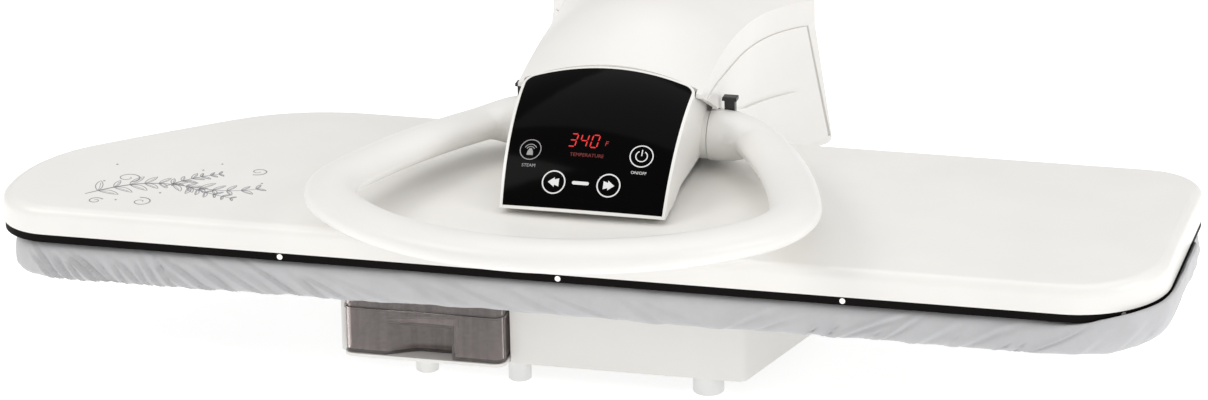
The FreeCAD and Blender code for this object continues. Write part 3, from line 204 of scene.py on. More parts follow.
def moulded(name, color, roughness, grain=0.05, spread=0.015, **values):
    """Moulded plastic: faint flow shading, uneven gloss and a fine eggshell skin."""
    s = Shader(name, color, roughness, **values)
    s.shades(s.noise(FLOW_SCALE, 3.0), spread)
    s.vary_roughness(s.noise(GLOSS_SCALE, 3.0), roughness * 0.88, roughness * 1.15)
    s.bump(s.noise(SKIN_SCALE, 2.0), grain, 0.0002)
    return s


def steel(name, color, roughness, stretch, grain=0.15):
    """Metal with brush marks, drawn out by squeezing the noise along one or two axes."""
    s = Shader(name, color, roughness, Metallic=1.0)
    brushed = s.noise(BRUSH_SCALE, 5.0, stretch)
    s.shades(brushed, 0.06)
    s.vary_roughness(brushed, roughness * 0.7, roughness * 1.4)
    s.bump(brushed, grain, 0.0001)
    return s


def cloth(name, color, roughness, pitch, weave, **values):
    """Plain woven cloth: two crossing sets of threads along the surface, with slubs and soft shading."""
    s = Shader(name, color, roughness, **values)
    uv = s.add("ShaderNodeTexCoord").outputs["UV"]
    threads = []
    for direction in ("X", "Y"):
        wave = s.add("ShaderNodeTexWave", wave_type="BANDS", bands_direction=direction, wave_profile="SIN")
        wave.inputs["Scale"].default_value = 1.0 / pitch / WAVE_TURN * math.pi
        wave.inputs["Distortion"].default_value = 0.6
        wave.inputs["Detail"].default_value = 1.0
        s.link(uv, wave.inputs["Vector"])
        threads.append(wave.outputs["Fac"])
    both = s.add("ShaderNodeMath", operation="MULTIPLY")
    s.link(threads[0], both.inputs[0])
    s.link(threads[1], both.inputs[1])
    s.shades(s.noise(CLOTH_SHADE_SCALE, 5.0, roughness=0.65), 0.05)
    s.bump(s.noise(SLUB_SCALE, 4.0), 0.25, 0.0004)
    s.bump(both.outputs["Value"], weave, 0.0002)
    return s


def tank_plastic():
    """Clear plastic with a faint pink tint, and streaks of painted reflection in its colour that run up and
    down.
    """
    s = moulded("tank_plastic", (0.87, 0.775, 0.755), 0.02, grain=0.02, spread=0.03,
                Transmission_Weight=0.93, IOR=1.47)
    # Painted reflection: vertical streaks of lighter and darker colour stand in for light reflected and bent
    # by the clear walls
    s.shades(s.noise(REFLECTION_STREAK_SCALE, 4.0, (1.0, 1.0, 0.06), 0.6), 0.16)
    return s


WHITE = (0.80, 0.785, 0.755)
FINISHES = (
    moulded("shell_plastic", WHITE, 0.34, Coat_Weight=0.12, Coat_Roughness=0.22, IOR=1.5),
    moulded("handle_plastic", (0.80, 0.785, 0.76), 0.38, Coat_Weight=0.08, Coat_Roughness=0.3),
    moulded("band_plastic", (0.0035, 0.0026, 0.0024), 0.6, grain=0.25, spread=0.2, Specular_IOR_Level=0.07),
    moulded("black_plastic", (0.012, 0.012, 0.012), 0.38, grain=0.2, spread=0.2),
    moulded("inner_plastic", (0.36, 0.36, 0.35), 0.5, grain=0.2),
    moulded("bush_plastic", (0.68, 0.66, 0.60), 0.45),
    moulded("plug_rubber", (0.03, 0.03, 0.03), 0.6, grain=0.3),
    moulded("panel_glass", (0.0015, 0.0012, 0.0012), 0.1, grain=0.0, spread=0.1, Specular_IOR_Level=0.035),
    moulded("foot_rubber", (0.80, 0.80, 0.79), 0.35),
    moulded("board_steel", (0.42, 0.42, 0.42), 0.4, grain=0.3),
    steel("sheet_steel", (0.56, 0.56, 0.57), 0.34, (1, 1, 14)),
    steel("pin_steel", (0.60, 0.60, 0.61), 0.25, (1, 12, 12)),
    steel("spring_steel", (0.20, 0.20, 0.21), 0.3, (8, 1, 1)),
    steel("tube_steel", (0.30, 0.27, 0.25), 0.4, (1, 12, 12)),
    steel("screw_steel", (0.86, 0.85, 0.83), 0.18, (6, 1, 1)),
    steel("plate_aluminium", (0.66, 0.66, 0.67), 0.3, (20, 1, 1), 0.1),
    moulded("circuit_board", (0.012, 0.09, 0.035), 0.35, grain=0.3, spread=0.25),
    cloth("cover_fabric", (0.46, 0.46, 0.47), 0.46, 0.0005, 0.35, Sheen_Weight=0.25, Sheen_Roughness=0.4),
    cloth("elastic", (0.66, 0.66, 0.64), 0.8, 0.0009, 0.6),
    cloth("pad_foam", (0.60, 0.57, 0.50), 0.9, 0.0012, 0.5),
    tank_plastic(),
)
SLOTS = {finish.name: finish.material for finish in FINISHES}

for row in frame["record"]["subparts"]:
    for place in nodes[row["node"]].material_slots:
        place.material = SLOTS[row["material_slot"]]


# Meshes


def add_piece(name, mesh, material, body):
    """Object of a mesh with a given material, that rides on a body."""
    mesh.materials.append(material)
    piece = bpy.data.objects.new(name, mesh)
    scene.collection.objects.link(piece)
    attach(piece, body)
    return piece


def cloth_piece(name, verts, faces, uvs, slot, body):
    """Smooth piece of points and cloth coordinates in millimetres, with its faces turned round."""
    mesh = bpy.data.meshes.new(name)
    mesh.from_pydata([tuple(v) for v in verts * MM], [], [f[::-1] for f in faces])
    mesh.validate()
    layer = mesh.uv_layers.new(name="cloth")
    corners = np.empty(len(mesh.loops), dtype=np.int32)
    mesh.loops.foreach_get("vertex_index", corners)
    layer.data.foreach_set("uv", np.asarray(uvs * MM, dtype=np.float32)[corners].ravel())
    for polygon in mesh.polygons:
        polygon.use_smooth = True
    return add_piece(name, mesh, SLOTS[slot], body)


def ease(x, low, high):
    """Smooth step from 0 at low to 1 at high."""
    x = np.clip((x - low) / (high - low), 0.0, 1.0)
    return x * x * (3 - 2 * x)


def hump(x, middle, width):
    """Bell curve of height 1."""
    return np.exp(-((x - middle) / width) ** 2)


def corner(i):
    """Place, radius, side directions in and out, and turn of the board's corner i."""
    count = len(BOARD)
    x, y, radius = BOARD[i % count]
    here = np.array((x, y))
    into = here - np.array(BOARD[(i - 1) % count][:2])
    out = np.array(BOARD[(i + 1) % count][:2]) - here
    into /= np.linalg.norm(into)
    out /= np.linalg.norm(out)
    return here, radius, into, out, math.acos(float(into @ out))


def outline(step):
    """Points, outward normals and running length round the board's edge, anticlockwise, in millimetres."""
    points, normals = [], []
    for i in range(len(BOARD)):
        here, radius, into, out, turn = corner(i)
        reach = radius * math.tan(turn / 2)
        inward = np.array((-into[1], into[0]))
        centre = here - into * reach + inward * radius
        pieces = max(2, round(radius * turn / step))
        first = math.atan2(-inward[1], -inward[0])
        for k in range(pieces + 1):
            angle = first + turn * k / pieces
            normal = np.array((math.cos(angle), math.sin(angle)))
            points.append(centre + normal * radius)
            normals.append(normal)
        ahead, next_radius, _, _, next_turn = corner(i + 1)
        start = points[-1]
        end = ahead - out * next_radius * math.tan(next_turn / 2)
        pieces = max(1, round(np.linalg.norm(end - start) / step))
        for k in range(1, pieces):
            points.append(start + (end - start) * k / pieces)
            normals.append(normals[-1])
    points = np.array(points)
    normals = np.array(normals)
    steps = np.linalg.norm(np.roll(points, -1, axis=0) - points, axis=1)
    lengths = np.concatenate(([0.0], np.cumsum(steps)))[:-1]
    return points, normals, lengths, float(steps.sum())


def rings_to_faces(rings, count):
    """Quads between successive closed rings of count points each."""
    faces = []
    for a in range(0, (rings - 1) * count, count):
        b = a + count
        for i in range(count):
            j = (i + 1) % count
            faces.append((a + i, b + i, b + j, a + j))
    return faces


def running_length(points):
    """Length along a line of points, from 0 at the first."""
    return np.concatenate(([0.0], np.cumsum(np.linalg.norm(np.diff(points, axis=0), axis=1))))


# Points of the fine curve that a profile's even points are read from
FINE_POINTS = 400


def profile(levels, count):
    """Even points along a smooth curve through inset and height levels, with the running length."""
    levels = np.array(levels, dtype=float)
    knots = running_length(levels)
    fine = np.linspace(0, knots[-1], FINE_POINTS)
    k = np.clip(np.searchsorted(knots, fine) - 1, 0, len(knots) - 2)
    h = knots[k + 1] - knots[k]
    t = (fine - knots[k]) / h
    curve = []
    for column in levels.T:
        slopes = np.gradient(column, knots)
        a, b = column[k], column[k + 1]
        curve.append((2 * t ** 3 - 3 * t ** 2 + 1) * a + (t ** 3 - 2 * t ** 2 + t) * h * slopes[k]
                     + (3 * t ** 2 - 2 * t ** 3) * b + (t ** 3 - t ** 2) * h * slopes[k + 1])
    curve = np.array(curve).T
    runs = running_length(curve)
    even = np.linspace(0, runs[-1], count)
    return np.stack([np.interp(even, runs, column) for column in curve.T], axis=1), even


# Soft goods

COVER_STEP = 2.2
SIDE_RINGS = 36

# Inset and height down the cover's side, from the edge of the top to the hem underneath
COVER_SIDE = (
    (26.0, COVER_TOP), (16.0, COVER_TOP), (10.0, 116.4), (6.0, 114.2), (3.6, 110.0), (2.6, 104.5),
    (2.2, 99.0), (2.4, 94.0), (3.6, 89.8), (7.0, 86.8), (11.5, 86.2), (15.0, 87.4),
)
# The same round the right end, where the slack cloth stands out past the upper plate
RIGHT_END = (
    (26.0, 117.2), (14.0, 117.2), (5.0, 117.0), (0.5, 117.0), (-1.8, 118.0), (-2.3, 122.0), (-3.2, 125.2),
    (-4.6, 125.4), (-5.8, 121.0), (-5.6, 113.0), (-3.6, 104.0), (-0.4, 96.5), (3.8, 90.2), (8.0, 87.2),
    (12.0, 86.6), (15.0, 87.6),
)
# Where the right end's lip swells along the board, and where it dies away towards the back
LIP_X = (400.0, 490.0)
LIP_Y = (40.0, 110.0)
# Gathers start where the side comes down to this height, past this length of the profile
GATHER_Z = 90.0
GATHER_FROM = 30
# Lengths of the profile over which the gathers fade in, and the hem starts to hang before its edge
TOP_FADE = (9.0, 16.0)
HEM_FADE = (26.0, 7.0)
# How far the nose hangs, where that fades out along the board, and slack places: drop, middle and width
NOSE_DROP = 3.2
NOSE_FADE = (-480.0, 20.0)
SLACK_PLACES = ((1.5, 95.0, 42.0), (0.8, -190.0, 30.0))

# Rings of the top, as shares of the way from its edge to the board's middle line, and that line's ends
TOP_SHARES = (0.08, 0.2, 0.36, 0.55, 0.75, 0.96)
SPINE_ENDS = (-400.0, 380.0)
CLOTH_THICKNESS = 0.7

# Where one style of gathers gives way to the next along the board
RIGHT_END_X = 400
MIDDLE_X = 120
LEFT_X = -190
NOSE_X = -345
NOSE_TIP_X = -470

# Styles of gathers: spacing, lean, height up the side, size and width, each a range or a fixed number
END_PUCKER = ((7, 14), -0.9, (6, 11), (1.0, 1.5), (1.1, 1.6))
END_WAVE = ((16, 34), (-1.2, -0.4), (10, 20), (0.5, 0.9), (3, 6))
NOSE_FOLD = ((7.5, 13), (0.75, 1.2), (18, 32), (2.0, 3.4), (1.9, 2.9))
LEFT_FOLD = ((13, 26), (1.4, 2.3), (20, 34), (1.5, 2.6), (2.4, 4.4))
MIDDLE_FOLD = ((22, 48), (1.6, 3.2), (14, 28), (0.5, 1.3), (3.4, 7.5))
RIGHT_PUCKER = ((9, 16), (-1.2, -0.7), (8, 14), (1.3, 2.0), (1.3, 2.0))
RIGHT_WAVE = ((22, 50), (-2.6, -1.3), (16, 32), (1.3, 2.3), (3.0, 6.5))
END_PUCKER_SHARE = 0.25
RIGHT_PUCKER_SHARE = 0.3

# Long soft waves under the gathers: length and height
SLOW_WAVES = ((170.0, 0.5), (83.0, 0.35), (37.0, 0.2))
GATHER_SEED = 11


def next_gather(rng, x, y):
    """Spacing, lean, height up the side, size and width of the next gather, by its place round the board."""
    if x > RIGHT_END_X or (x < NOSE_TIP_X and y < 0):
        style = END_PUCKER if rng.random() < END_PUCKER_SHARE else END_WAVE
    elif x < NOSE_X:
        style = NOSE_FOLD
    elif x < LEFT_X:
        style = LEFT_FOLD
    elif x < MIDDLE_X:
        style = MIDDLE_FOLD
    else:
        style = RIGHT_PUCKER if rng.random() < RIGHT_PUCKER_SHARE else RIGHT_WAVE
    gap, lean, tall, high, width = (rng.uniform(*r) if isinstance(r, tuple) else r for r in style)
    return gap, lean * (1 if y < BOARD_MIDDLE_Y else -1), tall, high, width


def gather_field(points, lengths, total, depth, gather_depth):
    """Outward height of the gathers over the cover's side, at each profile length and outline point."""
    rng = random.Random(GATHER_SEED)
    field = np.zeros((len(depth), len(lengths)))
    up = gather_depth - depth[:, None]
    s = 0.0
    while s < total:
        x, y = points[int(np.argmin(np.abs(lengths - s)))]
        gap, slant, tall, high, width = next_gather(rng, x, y)
        bend = rng.uniform(-0.012, 0.012)
        lean = s - slant * up + bend * up * up
        away = (lengths[None, :] - lean + total / 2) % total - total / 2
        spread = width * (1 + 0.5 * np.clip(up, -12, 30) / max(tall, 1.0))
        spread = np.maximum(spread, 0.8)
        # A crest with a furrow along one side
        crest = np.exp(-np.abs(away / spread) ** 1.3) - 1.1 * hump(away, 1.3 * spread, 0.7 * spread)
        reach = 1 - ease(up, 0.3 * tall, tall)
        field += high * crest * reach
        s += gap
    down = depth[:, None]
    for wave, size in SLOW_WAVES:
        count = max(1, round(total / wave))
        phase = rng.uniform(0, 6.28)
        tilt = rng.uniform(-0.10, 0.10)
        turn = 2 * math.pi * count * lengths[None, :] / total + phase + tilt * down
        field += size * np.sin(turn) * ease(down, 4, 18)
    return field


def hem_drop(x):
    """How far the cloth hangs below its mean edge: most at the nose, with slack places along the side."""
    slack = sum(drop * hump(x, middle, width) for drop, middle, width in SLACK_PLACES)
    ripple = 0.35 * np.sin(x / 9.0) + 0.3 * np.sin(x / 5.3 + 1.0)
    return NOSE_DROP * (1 - ease(x, *NOSE_FADE)) + slack + ripple


def cover_side(points, normals, lengths, total):
    """Rings of the cover's side from the edge of the top to the hem, with their cloth coordinates."""
    levels, depth = profile(COVER_SIDE, SIDE_RINGS)
    lipped, _ = profile(RIGHT_END, SIDE_RINGS)
    bulge = ease(points[:, 0], *LIP_X) * (1 - ease(points[:, 1], *LIP_Y))
    off_height = np.abs(levels[:, 1] - GATHER_Z) + 50 * (depth < GATHER_FROM)
    gather_depth = float(depth[int(np.argmin(off_height))])
    field = gather_field(points, lengths, total, depth, gather_depth)
    slopes = np.gradient(levels, depth, axis=0)
    top_fade = ease(depth, *TOP_FADE)
    hem = ease(depth, depth[-1] - HEM_FADE[0], depth[-1] - HEM_FADE[1])
    drop = hem_drop(points[:, 0])
    rings, uvs = [], []
    for r, (inset, z) in enumerate(levels):
        inward, rise = slopes[r]
        lift = field[r] * top_fade[r]
        inset = inset + (lipped[r, 0] - inset) * bulge
        z = z + (lipped[r, 1] - z) * bulge
        away = -inset + lift * max(-rise, 0.1)
        height = z - drop * hem[r] - np.maximum(lift, -0.4) * max(inward, 0.0) * 0.35
        rings.append(np.column_stack([points + normals * away[:, None], height]))
        uvs.append(np.column_stack([lengths, np.full(len(lengths), depth[r])]))
    return rings, uvs


def cover_top(points, edge):
    """Rings of the cover's top, from the board's middle line out to its edge, with cloth coordinates."""
    spine_x = np.clip(points[:, 0], *SPINE_ENDS)
    spine = np.column_stack([spine_x, np.full(len(points), BOARD_MIDDLE_Y), np.full(len(points), COVER_TOP)])
    rings = [edge + (spine - edge) * share for share in reversed(TOP_SHARES)]
    return rings, [ring[:, :2] for ring in rings]


def make_cover():
    """Fabric cover: taut over the top, gathered round the side and drawn in underneath."""
    points, normals, lengths, total = outline(COVER_STEP)
    side, side_uvs = cover_side(points, normals, lengths, total)
    top, top_uvs = cover_top(points, side[0])
    rings = top + side
    count = len(points)
    faces = rings_to_faces(len(rings), count)
    faces.append(tuple(range(count)))
    verts = np.concatenate(rings) + TO_FRAME
    uvs = np.concatenate(top_uvs + side_uvs)
    piece = cloth_piece("board_cover_cloth", verts, faces, uvs, "cover_fabric", "base")
    bm = bmesh.new()
    bm.from_mesh(piece.data)
    bmesh.ops.triangulate(bm, faces=[f for f in bm.faces if len(f.verts) > 4])
    bmesh.ops.recalc_face_normals(bm, faces=bm.faces)
    bm.to_mesh(piece.data)
    bm.free()
    thick = piece.modifiers.new("thickness", "SOLIDIFY")
    thick.thickness = CLOTH_THICKNESS * MM
    thick.offset = -1.0
    return piece


ELASTIC_STEP = 1.5
ELASTIC_WAVE = 9.0
ELASTIC_RUFFLE = 0.35
ELASTIC_SIDE = 2.0
ELASTIC_SECTION = ((15.6, 88.4), (18.4, 88.4), (18.4, 92.0), (15.6, 92.0))


def make_elastic():
    """Ruffled elastic in the cover's hem: a closed band round the board's outline."""
    points, normals, lengths, total = outline(ELASTIC_STEP)
    waves = round(total / ELASTIC_WAVE)
    shift = ELASTIC_RUFFLE * np.sin(2 * math.pi * waves * lengths / total)
    rings, uvs = [], []
    for r, (inset, z) in enumerate(ELASTIC_SECTION):
        spots = points - normals * (inset + shift)[:, None]
        rings.append(np.column_stack([spots, np.full(len(points), z)]))
        uvs.append(np.column_stack([lengths, np.full(len(points), ELASTIC_SIDE * r)]))
    count = len(points)
    faces = rings_to_faces(len(rings), count)
    last = (len(rings) - 1) * count
    faces += [(last + i, i, (i + 1) % count, last + (i + 1) % count) for i in range(count)]
    verts = np.concatenate(rings) + TO_FRAME
    return cloth_piece("hem_elastic", verts, faces, np.concatenate(uvs), "elastic", "base")


PAD_STEP = 8.0
PAD_RINGS = 12
# Inset and height down the pad's side
PAD_SIDE = (
    (20.0, PAD_TOP), (13.0, 115.6), (8.6, 113.4), (6.2, 110.0), (5.8, 107.0), (6.4, 105.2), (8.6, 104.0),
)
# Shares of the way from the top's edge to the pad's middle for its inner ring, in x, y and z
PAD_CROWN = (0.02, 0.5, 1.0)


def make_pad():
    """Foam pad under the cover: crowned, with its sides drawn in."""
    points, normals, _, _ = outline(PAD_STEP)
    levels, _ = profile(PAD_SIDE, PAD_RINGS)
    rings = [np.column_stack([points - normals * inset, np.full(len(points), z)]) for inset, z in levels]
    edge = rings[0]
    middle = np.array((0.0, BOARD_MIDDLE_Y, PAD_TOP))
    rings.insert(0, edge + (middle - edge) * np.array(PAD_CROWN))
    count = len(points)
    faces = rings_to_faces(len(rings), count)
    faces.append(tuple(range(count)))
    faces.append(tuple(range((len(rings) - 1) * count, len(rings) * count))[::-1])
    verts = np.concatenate(rings) + TO_FRAME
    return cloth_piece("board_pad", verts, faces, verts[:, :2], "pad_foam", "base")


cover = make_cover()
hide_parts("board_cover")
pad = make_pad()
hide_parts("foam_pad")
tape = make_elastic()
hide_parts("elastic_hem")


# Printed marks

INK_THICKNESS = 0.06 * MM
INK_LIFT = 0.04 * MM
# How far above a surface the search for it starts, in metres
PROBE = 0.02


class Surface:
    """Nearest-surface lookups on a CAD node, for marks laid on it."""

    def __init__(self, node):
        mesh = nodes[node].data
        verts = [v.co.copy() for v in mesh.vertices]
        self.tree = BVHTree.FromPolygons(verts, [tuple(p.vertices) for p in mesh.polygons])

    def hit(self, start, way):
        place, normal, _, _ = self.tree.ray_cast(start, way)
        return place, normal


def ink(name, color, roughness, glow=0.0):
    """Material of a printed or lit mark."""
    s = moulded(name, color, roughness, grain=0.0, spread=0.04)
    if glow:
        s.set("Emission Color", (*color, 1.0))
        s.set("Emission Strength", glow)
    return s.material


white_ink = ink("white_ink", (0.72, 0.72, 0.72), 0.45)
dim_ink = ink("dim_ink", (0.30, 0.30, 0.30), 0.5)
red_light = ink("red_light", (0.62, 0.008, 0.008), 0.4, glow=0.42)
dim_red = ink("dim_red", (0.35, 0.008, 0.008), 0.4, glow=0.12)
faint_red = ink("faint_red", (0.17, 0.005, 0.005), 0.4, glow=0.05)
print_ink = ink("print_ink", (0.27, 0.27, 0.29), 0.5)


def arc_points(radius, start, end, count):
    """Points of an arc between two angles in degrees."""
    angles = [math.radians(start + (end - start) * k / count) for k in range(count + 1)]
    return [(radius * math.cos(a), radius * math.sin(a)) for a in angles]


def stroke(points, width, closed=False):
    """Flat band along a line, as (x, y) points and quads; width is a number or one value per point."""
    n = len(points)
    widths = [width] * n if isinstance(width, (int, float)) else width
    verts, faces = [], []
    for i, (x, y) in enumerate(points):
        a = points[(i - 1) % n] if closed or i else points[0]
        b = points[(i + 1) % n] if closed or i < n - 1 else points[-1]
        dx, dy = b[0] - a[0], b[1] - a[1]
        run = math.hypot(dx, dy) or 1.0
        half = widths[i] / 2
        verts.append((x - dy / run * half, y + dx / run * half))
        verts.append((x + dy / run * half, y - dx / run * half))
    for i in range(n if closed else n - 1):
        a, b = 2 * i, 2 * ((i + 1) % n)
        faces.append((a, a + 1, b + 1, b))
    return verts, faces


def disc(points):
    """Flat shape of one face inside an outline."""
    return list(points), [tuple(range(len(points)))]


def join(*shapes):
    """One flat shape of several."""
    verts, faces = [], []
    for part_verts, part_faces in shapes:
        base = len(verts)
        verts += part_verts
        faces += [tuple(i + base for i in face) for face in part_faces]
    return verts, faces


def moved(shape, dx=0.0, dy=0.0, scale=1.0):
    """Flat shape scaled about the origin and then moved."""
    verts, faces = shape
    return [(x * scale + dx, y * scale + dy) for x, y in verts], faces


# Size of the letters' body for capitals 1 high
LETTER_BODY = 1.38


def text_shape(words, height, slant=0.0):
    """Flat letters of a height in millimetres, centred on the origin."""
    curve = bpy.data.curves.new("letters", "FONT")
    curve.body = words
    curve.size = height * LETTER_BODY
    curve.resolution_u = 3
    curve.shear = slant
    curve.align_x = "CENTER"
    curve.align_y = "CENTER"
    holder = bpy.data.objects.new("letters", curve)
    scene.collection.objects.link(holder)
    mesh = bpy.data.meshes.new_from_object(holder)
    verts = [(v.co.x, v.co.y) for v in mesh.vertices]
    faces = [tuple(p.vertices) for p in mesh.polygons]
    bpy.data.objects.remove(holder)
    bpy.data.curves.remove(curve)
    bpy.data.meshes.remove(mesh)
    return verts, faces


def film_mesh(name, faces, lower, upper):
    """Closed thin mesh between a lower and an upper copy of a flat shape."""
    bm = bmesh.new()
    high = [bm.verts.new(v) for v in upper]
    low = [bm.verts.new(v) for v in lower]
    edges = {}
    for face in faces:
        try:
            bm.faces.new([high[i] for i in face])
            bm.faces.new([low[i] for i in reversed(face)])
        except ValueError:
            continue
        for a, b in zip(face, face[1:] + face[:1]):
            edges[(a, b)] = edges.get((a, b), 0) + 1
    for (a, b), times in edges.items():
        if (b, a) not in edges and times == 1:
            bm.faces.new((high[b], high[a], low[a], low[b]))
    bmesh.ops.recalc_face_normals(bm, faces=bm.faces)
    mesh = bpy.data.meshes.new(name)
    bm.to_mesh(mesh)
    bm.free()
    return mesh


def lay(name, shape, surface, spot, across, body, material):
    """Lay a flat shape in millimetres on a surface round a spot, facing the camera, as a thin film."""
    place, normal = spot
    if normal.dot(AHEAD) > 0:
        normal = -normal
    right = (across - normal * across.dot(normal)).normalized()
    up = normal.cross(right)
    verts, faces = shape
    lower, upper = [], []
    for x, y in verts:
        start = place + right * x * MM + up * y * MM + normal * PROBE
        under, _ = surface.hit(start, -normal)
        under = under or start - normal * PROBE
        lower.append(under + normal * INK_LIFT)
        upper.append(under + normal * (INK_LIFT + INK_THICKNESS))
    return add_piece(name, film_mesh(name, faces, lower, upper), material, body)


# Marks of the control panel, in millimetres

# Where the middle of each mark lies in the photograph, in pixels
MARK_PIXELS = {
    "key_steam": (530.6, 149.4),
    "word_steam": (528.5, 165.2),
    "key_power": (641.6, 156.4),
    "word_power": (638.6, 173.2),
    "key_less": (553.6, 182.0),
    "key_more": (608.4, 185.6),
    "mark_between_keys": (580.4, 183.2),
    "figures": (585.0, 140.6),
    "unit_mark": (606.5, 144.0),
    "word_temperature": (586.8, 155.4),
}
KEY_RADIUS = 9.9
KEY_RING_POINTS = 48

# Lit segments of a figure, from end to end, and the ones that make up each figure
SEGMENTS = {
    "a": ((0.7, 10.0), (4.7, 10.0)),
    "b": ((5.1, 9.6), (5.1, 5.5)),
    "c": ((5.1, 4.7), (5.1, 0.6)),
    "d": ((0.7, 0.2), (4.7, 0.2)),
    "e": ((0.3, 4.7), (0.3, 0.6)),
    "f": ((0.3, 9.6), (0.3, 5.5)),
    "g": ((0.7, 5.1), (4.7, 5.1)),
}
DIGITS = {"3": "abcdg", "4": "bcfg", "0": "abcdef"}
SEGMENT_HALF = 0.42
FIGURE_SLANT = 0.14
FIGURE_START = (-14.4, -6.3)
FIGURE_SPACING = 9.6
FIGURE_SCALE = 1.22


def digit(character):
    """Figure of slanting six-cornered segments."""
    parts = []
    for key in DIGITS[character]:
        (x0, y0), (x1, y1) = SEGMENTS[key]
        length = math.hypot(x1 - x0, y1 - y0)
        dx = (x1 - x0) / length * SEGMENT_HALF
        dy = (y1 - y0) / length * SEGMENT_HALF
        corners = (
            (x0, y0), (x0 + dx - dy, y0 + dy + dx), (x1 - dx - dy, y1 - dy + dx),
            (x1, y1), (x1 - dx + dy, y1 - dy - dx), (x0 + dx + dy, y0 + dy - dx),
        )
        parts.append(disc([(x + FIGURE_SLANT * y, y) for x, y in corners]))
    return join(*parts)


def key_ring(radius, width):
    """Circle round a touch key."""
    return stroke(arc_points(radius, 0, 360, KEY_RING_POINTS)[:-1], width, closed=True)


def steam_mark():
    """Iron's sole under two arcs of steam."""
    return join(
        key_ring(KEY_RADIUS - 0.6, 0.75),
        moved(stroke(arc_points(5.6, 25, 155, 12), 0.7), 0, -0.6),
        moved(stroke(arc_points(3.7, 25, 155, 12), 0.7), 0, -0.9),
        disc([(-2.9, -5.2), (2.9, -5.2), (2.5, -2.0), (1.0, 1.2), (-1.0, 1.2), (-2.5, -2.0)]),
    )


def power_mark():
    """Open circle with a line in its gap."""
    return join(
        key_ring(KEY_RADIUS, 1.0),
        stroke(arc_points(5.0, 120, 420, 24), 0.9),
        stroke([(0, 0.4), (0, 6.2)], 0.9),
    )


def arrow_mark(way):
    """Arrow to the left for -1 and to the right for 1."""
    return join(
        key_ring(KEY_RADIUS, 1.15),
        disc([(way * 5.2, 0), (-way * 0.6, 4.3), (-way * 0.6, -4.3)][::way]),
        disc([(-way * 0.4, 2.2), (-way * 0.4, -2.2), (-way * 4.6, -3.6), (-way * 4.6, 3.6)][::-way]),
    )


def bar_mark():
    """Short bar with round ends."""
    ends = arc_points(1.5, 270, 450, 8)
    return disc([(x + 6.0, y) for x, y in ends] + [(-x - 6.0, -y) for x, y in ends])


def figures_mark(figures):
    """Row of lit figures."""
    x, y = FIGURE_START
    return join(*[moved(digit(c), x + FIGURE_SPACING * i, y, FIGURE_SCALE) for i, c in enumerate(figures)])


def panel_marks():
    """Touch keys, their words and the lit figures, laid on the curved fascia."""
    panel = Surface("control_panel")
    across = Vector((1, 0, 0))

    def put(name, shape, material):
        spot = panel.hit(EYE, pixel_ray(*MARK_PIXELS[name]))
        lay(name, shape, panel, spot, across, "arm", material)

    put("key_steam", steam_mark(), dim_ink)
    put("word_steam", text_shape("STEAM", 3.0), dim_ink)
    put("key_power", power_mark(), white_ink)
    put("word_power", text_shape("ON/OFF", 2.7), white_ink)
    put("key_less", arrow_mark(-1), white_ink)
    put("key_more", arrow_mark(1), white_ink)
    put("mark_between_keys", bar_mark(), white_ink)
    put("figures", figures_mark("340"), red_light)
    put("unit_mark", text_shape("F", 4.6, FIGURE_SLANT), dim_red)
    put("word_temperature", text_shape("TEMPERATURE", 3.3), faint_red)


# Ornament of the casing, in millimetres

ORNAMENT_SEED = 5
ORNAMENT_X = -368.0
ORNAMENT_Y = -52.0
# A height above the casing, from which its surface is looked for
ABOVE_CASING = 200.0
ORNAMENT_ACROSS = Vector((0.99, 0.12, 0))
LEAF_POINTS = 10
LEAF_EVERY = 5
# Curls: x, y, radius, way round and starting angle
CURLS = ((-46, 8, 12, 1, -1.2), (-24, -44, 10, -1, 1.8), (66, 30, 9, 1, -2.0), (-64, -44, 7, 1, 0.5))
CURL_TURNS = 1.3
CURL_POINTS = 40
DOTS = 8


def main_stem(t):
    return -76 + 150 * t, -30 + 34 * t + 15 * math.sin(5.2 * t)


def upper_stem(t):
    return -10 + 44 * t, -10 + 50 * t - 18 * t * t


def lower_stem(t):
    return 6 + 48 * t, -6 - 34 * t + 8 * t * t


# Stems: line, number of steps, leaf size and extra width at the root
STEMS = ((main_stem, 60, 22, 1.6), (upper_stem, 30, 15, 1.2), (lower_stem, 30, 14, 1.1))


def leaf(length, width, bend):
    """Closed outline of a leaf from the origin along x, wider above than below."""
    def edge(k, reach):
        swell = math.sin(math.pi * k / LEAF_POINTS) ** 0.8
        return length * k / LEAF_POINTS, reach * swell + bend * (k / LEAF_POINTS) ** 2

    upper = [edge(k, width) for k in range(LEAF_POINTS + 1)]
    lower = [edge(k, -width * 0.55) for k in range(LEAF_POINTS, -1, -1)]
    return upper + lower[1:-1]


def turned(points, angle, dx, dy):
    """Points turned about the origin and then moved."""
    c, s = math.cos(angle), math.sin(angle)
    return [(x * c - y * s + dx, x * s + y * c + dy) for x, y in points]


def curl(x, y, radius, way, start):
    """Tendril that winds inwards and thins."""
    points = []
    for k in range(CURL_POINTS + 1):
        t = k / CURL_POINTS
        r = radius * (1 - 0.82 * t)
        a = start + way * CURL_TURNS * 2 * math.pi * t
        points.append((x + r * math.cos(a), y + r * math.sin(a) * 0.9))
    return stroke(points, [1.3 - 0.7 * k / CURL_POINTS for k in range(CURL_POINTS + 1)])


